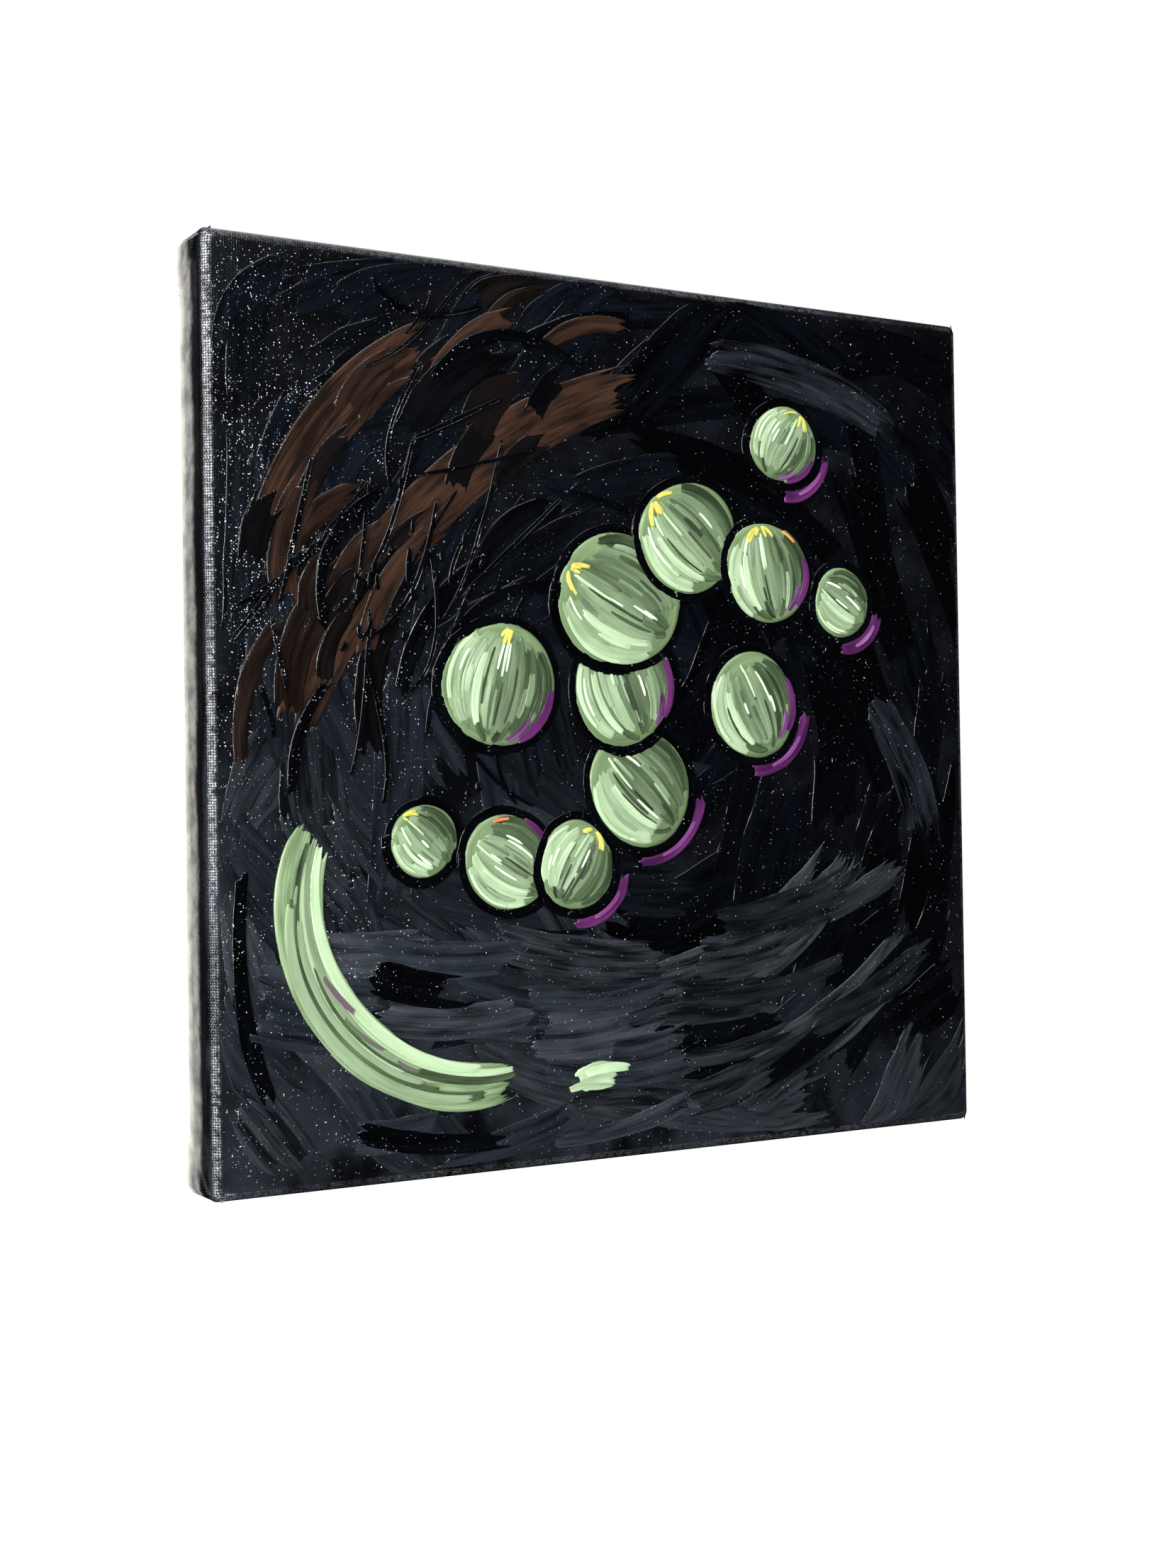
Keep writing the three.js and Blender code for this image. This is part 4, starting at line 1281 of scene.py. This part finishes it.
@dataclass(frozen=True)
class CanvasLook:
    """Primed canvas: dark paint on the face, black, a grey wash that is partly painted sheen, and bare primer
    down the sides.
    """

    flat_half: float          # half of the flat sheet's width, in millimetres
    weave_depth: float = 0.1  # depth of the weave, in millimetres

    def colour(self, nodes: Nodes, run: Value, cloud: Value) -> Socket:
        """The paint: coats that follow one another with ragged edges, by the distance along the cloth.

        Args:
            nodes: the material's tree.
            run: millimetres past the start of the rounded shoulder.
            cloud: a fine noise.

        Returns:
            The colour.
        """
        place, x, z = nodes.spot()
        ragged = (nodes.noise(place, 60.0, 3.0) - 0.5) * 5.0 + (nodes.noise(place, 700.0, 1.0) - 0.5) * 1.6
        edge = run + ragged
        patch = nodes.noise(place, 45.0, 4.0, 0.6)
        lit = (x * 0.55 + z + 0.088).step(-0.02, -0.12)
        smear = nodes.noise(place, 60.0, 3.0, 0.6).step(0.68, 0.71) * run.step(21.0, 30.0)
        colour = nodes.mix(patch.step(0.35, 0.7), shade(3, 4, 6), shade(14, 17, 24))
        for share, coat in (
                (lit * patch.step(0.3, 0.65), shade(32, 37, 43)),
                (edge.step(4.2, 5.4), shade(7, 7, 9)),
                # grey band down the sides: a thin grey wash, paler in part as painted sheen of light on the
                # black paint
                (edge.step(8.6, 12.4),
                 nodes.mix(cloud.step(0.3, 0.7), shade(86, 87, 86), shade(124, 123, 119))),
                ((run + ragged * 0.5).step(14.6, 18.4),
                 nodes.mix(cloud.step(0.3, 0.75), shade(152, 149, 140), shade(182, 178, 168))),
                ((run + ragged * 0.4).step(17.6, 21.0),
                 nodes.mix(nodes.noise(place, 110.0, 3.0), shade(218, 214, 202), shade(232, 229, 219))),
                (smear * 0.6, shade(72, 76, 82))):
            colour = nodes.mix(share, colour, coat)
        return colour

    def painted_highlight(self, nodes: Nodes, run: Value, height: Value) -> Value:
        """Painted highlight: thread tops painted white along the shoulder, most of all the left one, and in
        dots, where the light would glint.

        Args:
            nodes: the material's tree.
            run: millimetres past the start of the rounded shoulder.
            height: the weave's height.

        Returns:
            The share of the painted highlight.
        """
        place, x, z = nodes.spot()
        slubs = nodes.noise(place, 640.0, 2.0, 0.6).step(0.34, 0.6)
        specks = nodes.noise(place, 2000.0, 1.0).step(0.46, 0.6) * 0.65 + 0.35
        highlight_breaks = nodes.noise(nodes.scaled(place, 1.0, 1.0, 0.3), 50.0).step(0.2, 0.6)
        share = height.step(0.4, 0.8) * specks * slubs * highlight_breaks * run.step(0.3, 1.3) * run.step(3.6, 2.3)
        # painted highlight: strongest on the left shoulder, where the light falls, and weaker towards the
        # bottom
        share = share * (x.step(-0.12, -0.124) * 0.85 + 0.15) * (z.step(-0.26, -0.06) * 0.4 + 0.6)
        return share.math("MAXIMUM", glints(nodes, height) * run.step(1.0, -1.0) * 0.9)

    def build(self) -> Material:
        """Makes the material."""
        nodes = Nodes.material("painted canvas")
        place = nodes.place()
        run = Value(nodes, nodes.attribute("run", "Fac"))
        cloud = nodes.noise(place, 240.0, 3.0)
        waver = nodes.noise(place, 90.0, 1.0) * 0.7
        across, up = ((part - 0.5) * (2 * self.flat_half / PITCH) + waver
                      for part in nodes.parts(nodes.place("UV"))[:2])
        height = weave(across, up)
        # painted highlight on the shoulder's thread tops
        colour = nodes.mix(self.painted_highlight(nodes, run, height), self.colour(nodes, run, cloud), PAINTED_HIGHLIGHT_WHITE)
        shown = run.step(-1.0, 1.0).math("MAXIMUM", bareness(nodes))
        threads = nodes.bump(height * shown, self.weave_depth * MM)
        slub = nodes.bump(nodes.noise(place, 900.0), 0.025 * MM, below=threads)
        rough = run.step(6.0, 13.0) * 0.5 + 0.2 + cloud * 0.12
        return nodes.finish(colour, rough, slub, {"Specular IOR Level": 0.45})


@dataclass(frozen=True)
class RawClothLook:
    """The bare cotton on the inside of the canvas and along its cut edge."""

    def build(self) -> Material:
        """Makes the material."""
        nodes = Nodes.material("raw cotton")
        height = weave(*object_threads(nodes))
        slub = nodes.noise(nodes.scaled(nodes.place(), 0.3, 1.0, 1.0), 500.0, 3.0)
        # painted shade: thread tops lighter and the hollows between threads darker, over the slubs' own
        # colour variation
        colour = nodes.mix(height * 0.55 + slub * 0.45, shade(172, 158, 130), shade(232, 223, 203))
        return nodes.finish(colour, 0.9, nodes.bump(height, 0.16 * MM),
                            {"Specular IOR Level": 0.2, "Sheen Weight": 0.2})


@dataclass(frozen=True)
class PineLook:
    """Planed pine, its grain along X or along Z."""

    name: str                            # the material's name
    upright: bool                        # whether the grain runs along Z
    pale: Colour = shade(226, 197, 150)  # colour of the early wood
    ring: Colour = shade(196, 150, 98)   # colour of the late wood
    fleck: Colour = shade(150, 112, 74)  # colour of the short dark fibres

    def build(self) -> Material:
        """Makes the material: growth rings about an axis beside the bar, and fibres along it."""
        nodes = Nodes.material(self.name)
        x, y, z = nodes.parts(nodes.place())
        along, aside = (z, x) if self.upright else (x, z)
        bent = nodes.noise(nodes.vector(along * 5.0, y * 16.0, aside * 16.0), 1.0)
        far = (y - 0.05).math("POWER", 2.0) + (aside * 0.7).math("POWER", 2.0)
        rings = ((far.math("SQRT") * 380.0 + bent * 5.0) * 6.283).math("SINE") * 0.5 + 0.5
        grain = nodes.noise(nodes.vector(along * 6.0, y * 160.0, aside * 160.0), 3.0, 4.0, 0.65)
        colour = nodes.mix(rings.math("POWER", 3.0) * 0.75 + grain * 0.25, self.pale, self.ring)
        colour = nodes.mix(grain.step(0.62, 0.75) * 0.5, colour, self.fleck)
        normal = nodes.bump(grain * 0.7 + rings * 0.3, 0.12 * MM)
        return nodes.finish(colour, grain * 0.2 + 0.5, normal, {"Specular IOR Level": 0.3})


@dataclass(frozen=True)
class SteelLook:
    """Bright galvanised staple wire, drawn lengthwise."""

    def build(self) -> Material:
        """Makes the material."""
        nodes = Nodes.material("staple steel")
        drawn = nodes.noise(nodes.scaled(nodes.place(), 90.0, 900.0, 90.0), 6.0, 3.0)
        colour = nodes.mix(drawn, shade(150, 152, 156), shade(206, 207, 210))
        return nodes.finish(colour, drawn * 0.25 + 0.22, nodes.bump(drawn, 0.02 * MM), {"Metallic": 0.85})


@dataclass(frozen=True)
class FloorLook:
    """A pale matt studio floor."""

    def build(self) -> Material:
        """Makes the material."""
        nodes = Nodes.material("studio floor")
        colour = nodes.mix(nodes.noise(nodes.place(), 3.0), shade(244, 244, 243), shade(250, 250, 249))
        return nodes.finish(colour, 0.85, None, {
            "Specular IOR Level": 0.1, "Emission Color": (1.0, 1.0, 1.0), "Emission Strength": 0.48})


# ---------------------------------------------------------------- the studio
@dataclass(frozen=True)
class SoftBox:
    """A soft box aimed at the picture's middle."""

    name: str                  # its name
    azimuth: float             # degrees about Z; 0 is in front of the face and negative is to its left
    height: float              # degrees above the level
    distance: float            # metres from the middle
    size: tuple[float, float]  # its two sides, in metres
    power: float               # watts

    def build(self, target: Vector) -> None:
        """Hangs it round a target.

        Args:
            target: the place that it shines on.
        """
        lamp = bpy.data.lights.new(self.name, "AREA")
        lamp.shape, lamp.size, lamp.size_y = "RECTANGLE", *self.size
        lamp.energy = self.power
        around, above = math.radians(self.azimuth), math.radians(self.height)
        level = math.cos(above)
        out = Vector((math.sin(around) * level, -math.cos(around) * level, math.sin(above)))
        seat = bpy.data.objects.new(self.name, lamp)
        seat.location = target + out * self.distance
        seat.rotation_euler = (-out).to_track_quat("-Z", "Y").to_euler()
        bpy.context.scene.collection.objects.link(seat)


@dataclass(frozen=True)
class Studio:
    """The camera, the lights, the background and the floor."""

    middle: Vector                  # the middle of the painted face
    lens: float = 48.27             # the camera's focal length, in millimetres
    turn: tuple[float, float, float] = (-0.76, -30.5, -0.86)     # of the face, in degrees about X, Y and Z
    shift: tuple[float, float, float] = (10.86, -19.25, 607.96)  # to the middle: right, down, ahead, in mm
    floor: float = -0.9             # Z of the floor
    reach: float = 6.0              # how far the floor reaches
    boxes: tuple[SoftBox, ...] = (
        SoftBox("key", -68, 12, 1.3, (0.1, 1.0), 20), SoftBox("overhead", -8, 68, 1.5, (1.0, 0.4), 7),
        SoftBox("spark", -26, 30, 1.3, (0.1, 0.1), 5.0), SoftBox("back", 165, 45, 1.4, (1.2, 1.2), 9))

    def place_camera(self) -> None:
        """Puts the camera in front of the face, down its left side."""
        about_x, about_y, about_z = (math.radians(value) for value in self.turn)
        turned = (Matrix.Rotation(about_z, 3, "Z") @ Matrix.Rotation(about_x, 3, "X")
                  @ Matrix.Rotation(about_y, 3, "Y"))
        away = -(turned.transposed() @ Vector(self.shift)) * MM
        world = Matrix(((1, 0, 0), (0, 0, 1), (0, -1, 0)))
        right, down, ahead = (world @ Vector(row) for row in turned)
        camera = bpy.data.cameras.new("camera")
        camera.sensor_fit, camera.sensor_height, camera.lens = "VERTICAL", 36.0, self.lens
        camera.clip_start = 0.01
        seat = bpy.data.objects.new("camera", camera)
        axes = zip(right, -down, -ahead, world @ away + self.middle)
        seat.matrix_world = Matrix((*axes, (0, 0, 0, 1)))
        bpy.context.scene.collection.objects.link(seat)
        bpy.context.scene.camera = seat

    def light_world(self) -> None:
        """A background that is white to the camera, dimmer for soft light and almost black in reflections."""
        world = bpy.data.worlds.new("studio")
        nodes = Nodes(world)
        path = nodes.add("ShaderNodeLightPath").node.outputs
        seen, soft = Value(nodes, path["Is Camera Ray"]), Value(nodes, path["Is Diffuse Ray"])
        strength = (seen + soft * 0.62 + 0.014).math("MINIMUM", 1.0)
        sky = nodes.add("ShaderNodeBackground", values={"Color": (1.0, 1.0, 1.0), "Strength": strength})
        nodes.add("ShaderNodeOutputWorld", values={0: sky})
        bpy.context.scene.world = world

    def build(self) -> None:
        """Sets everything up."""
        self.place_camera()
        for box in self.boxes:
            box.build(self.middle)
        self.light_world()
        bpy.context.scene.view_settings.view_transform = "Standard"
        corners = np.array([(-1, -1), (1, -1), (1, 1), (-1, 1)]) * self.reach
        floor = make_mesh("studio_floor", np.insert(corners, 2, self.floor, axis=1), np.arange(4),
                          np.array([4]))
        floor.data.materials.append(FloorLook().build())
        floor.visible_glossy = False


def set_material(piece: Piece, *materials: Material) -> None:
    """Gives a piece these materials in place of its own."""
    piece.data.materials.clear()
    for material in materials:
        piece.data.materials.append(material)


def main() -> None:
    """Builds the painting piece by piece."""
    logging.basicConfig(level=logging.INFO, format="%(message)s")
    face = Face.from_frame()
    Studio(Vector((0, face.front, face.middle))).build()
    cloth = Cloth(face)
    flat_half = cloth.spans()[-1]
    sheet = cloth.build()
    set_material(sheet, CanvasLook(flat_half).build(), RawClothLook().build())
    LOG.info("canvas_sheet: %.1f mm square when flat", 2 * flat_half)
    folds, fray, staples = CornerFolds(cloth).build(), FrayedEdge(cloth).build(), Staples(face.middle).build()
    for piece, look in ((folds, CanvasLook(flat_half)), (fray, RawClothLook()), (staples, SteelLook())):
        set_material(piece, look.build())
        LOG.info("%s: %d polygons", piece.name, len(piece.data.polygons))
    looks = {
        Family.SAGE: PaintLook("sage paint"),
        Family.PALE: PaintLook("pale green paint"),
        Family.PLUM: PaintLook("plum paint", gloss=0.18),
        Family.UMBER: PaintLook("umber paint", gloss=0.16, contrast=1.9, hair=0.03, cloth=0.09),
        Family.SLATE: PaintLook("slate paint", gloss=0.18, hair=0.016, cloth=0.08, painted_highlight=0.9),
        Family.BLACK: PaintLook("black paint", gloss=0.11, hair=0.016, cloth=0.07, painted_highlight=0.8),
    }
    for family, piece in Picture(face).paint().items():
        set_material(piece, looks[family].build())
    level, upright = PineLook("pine, level", False).build(), PineLook("pine, upright", True).build()
    for side, wood in (("top", level), ("left", upright), ("bottom", level), ("right", upright)):
        for name in (f"bar_{side}", f"key_{side}_a", f"key_{side}_b"):
            set_material(bpy.data.objects[name], wood)


if __name__ == "__main__":
    main()
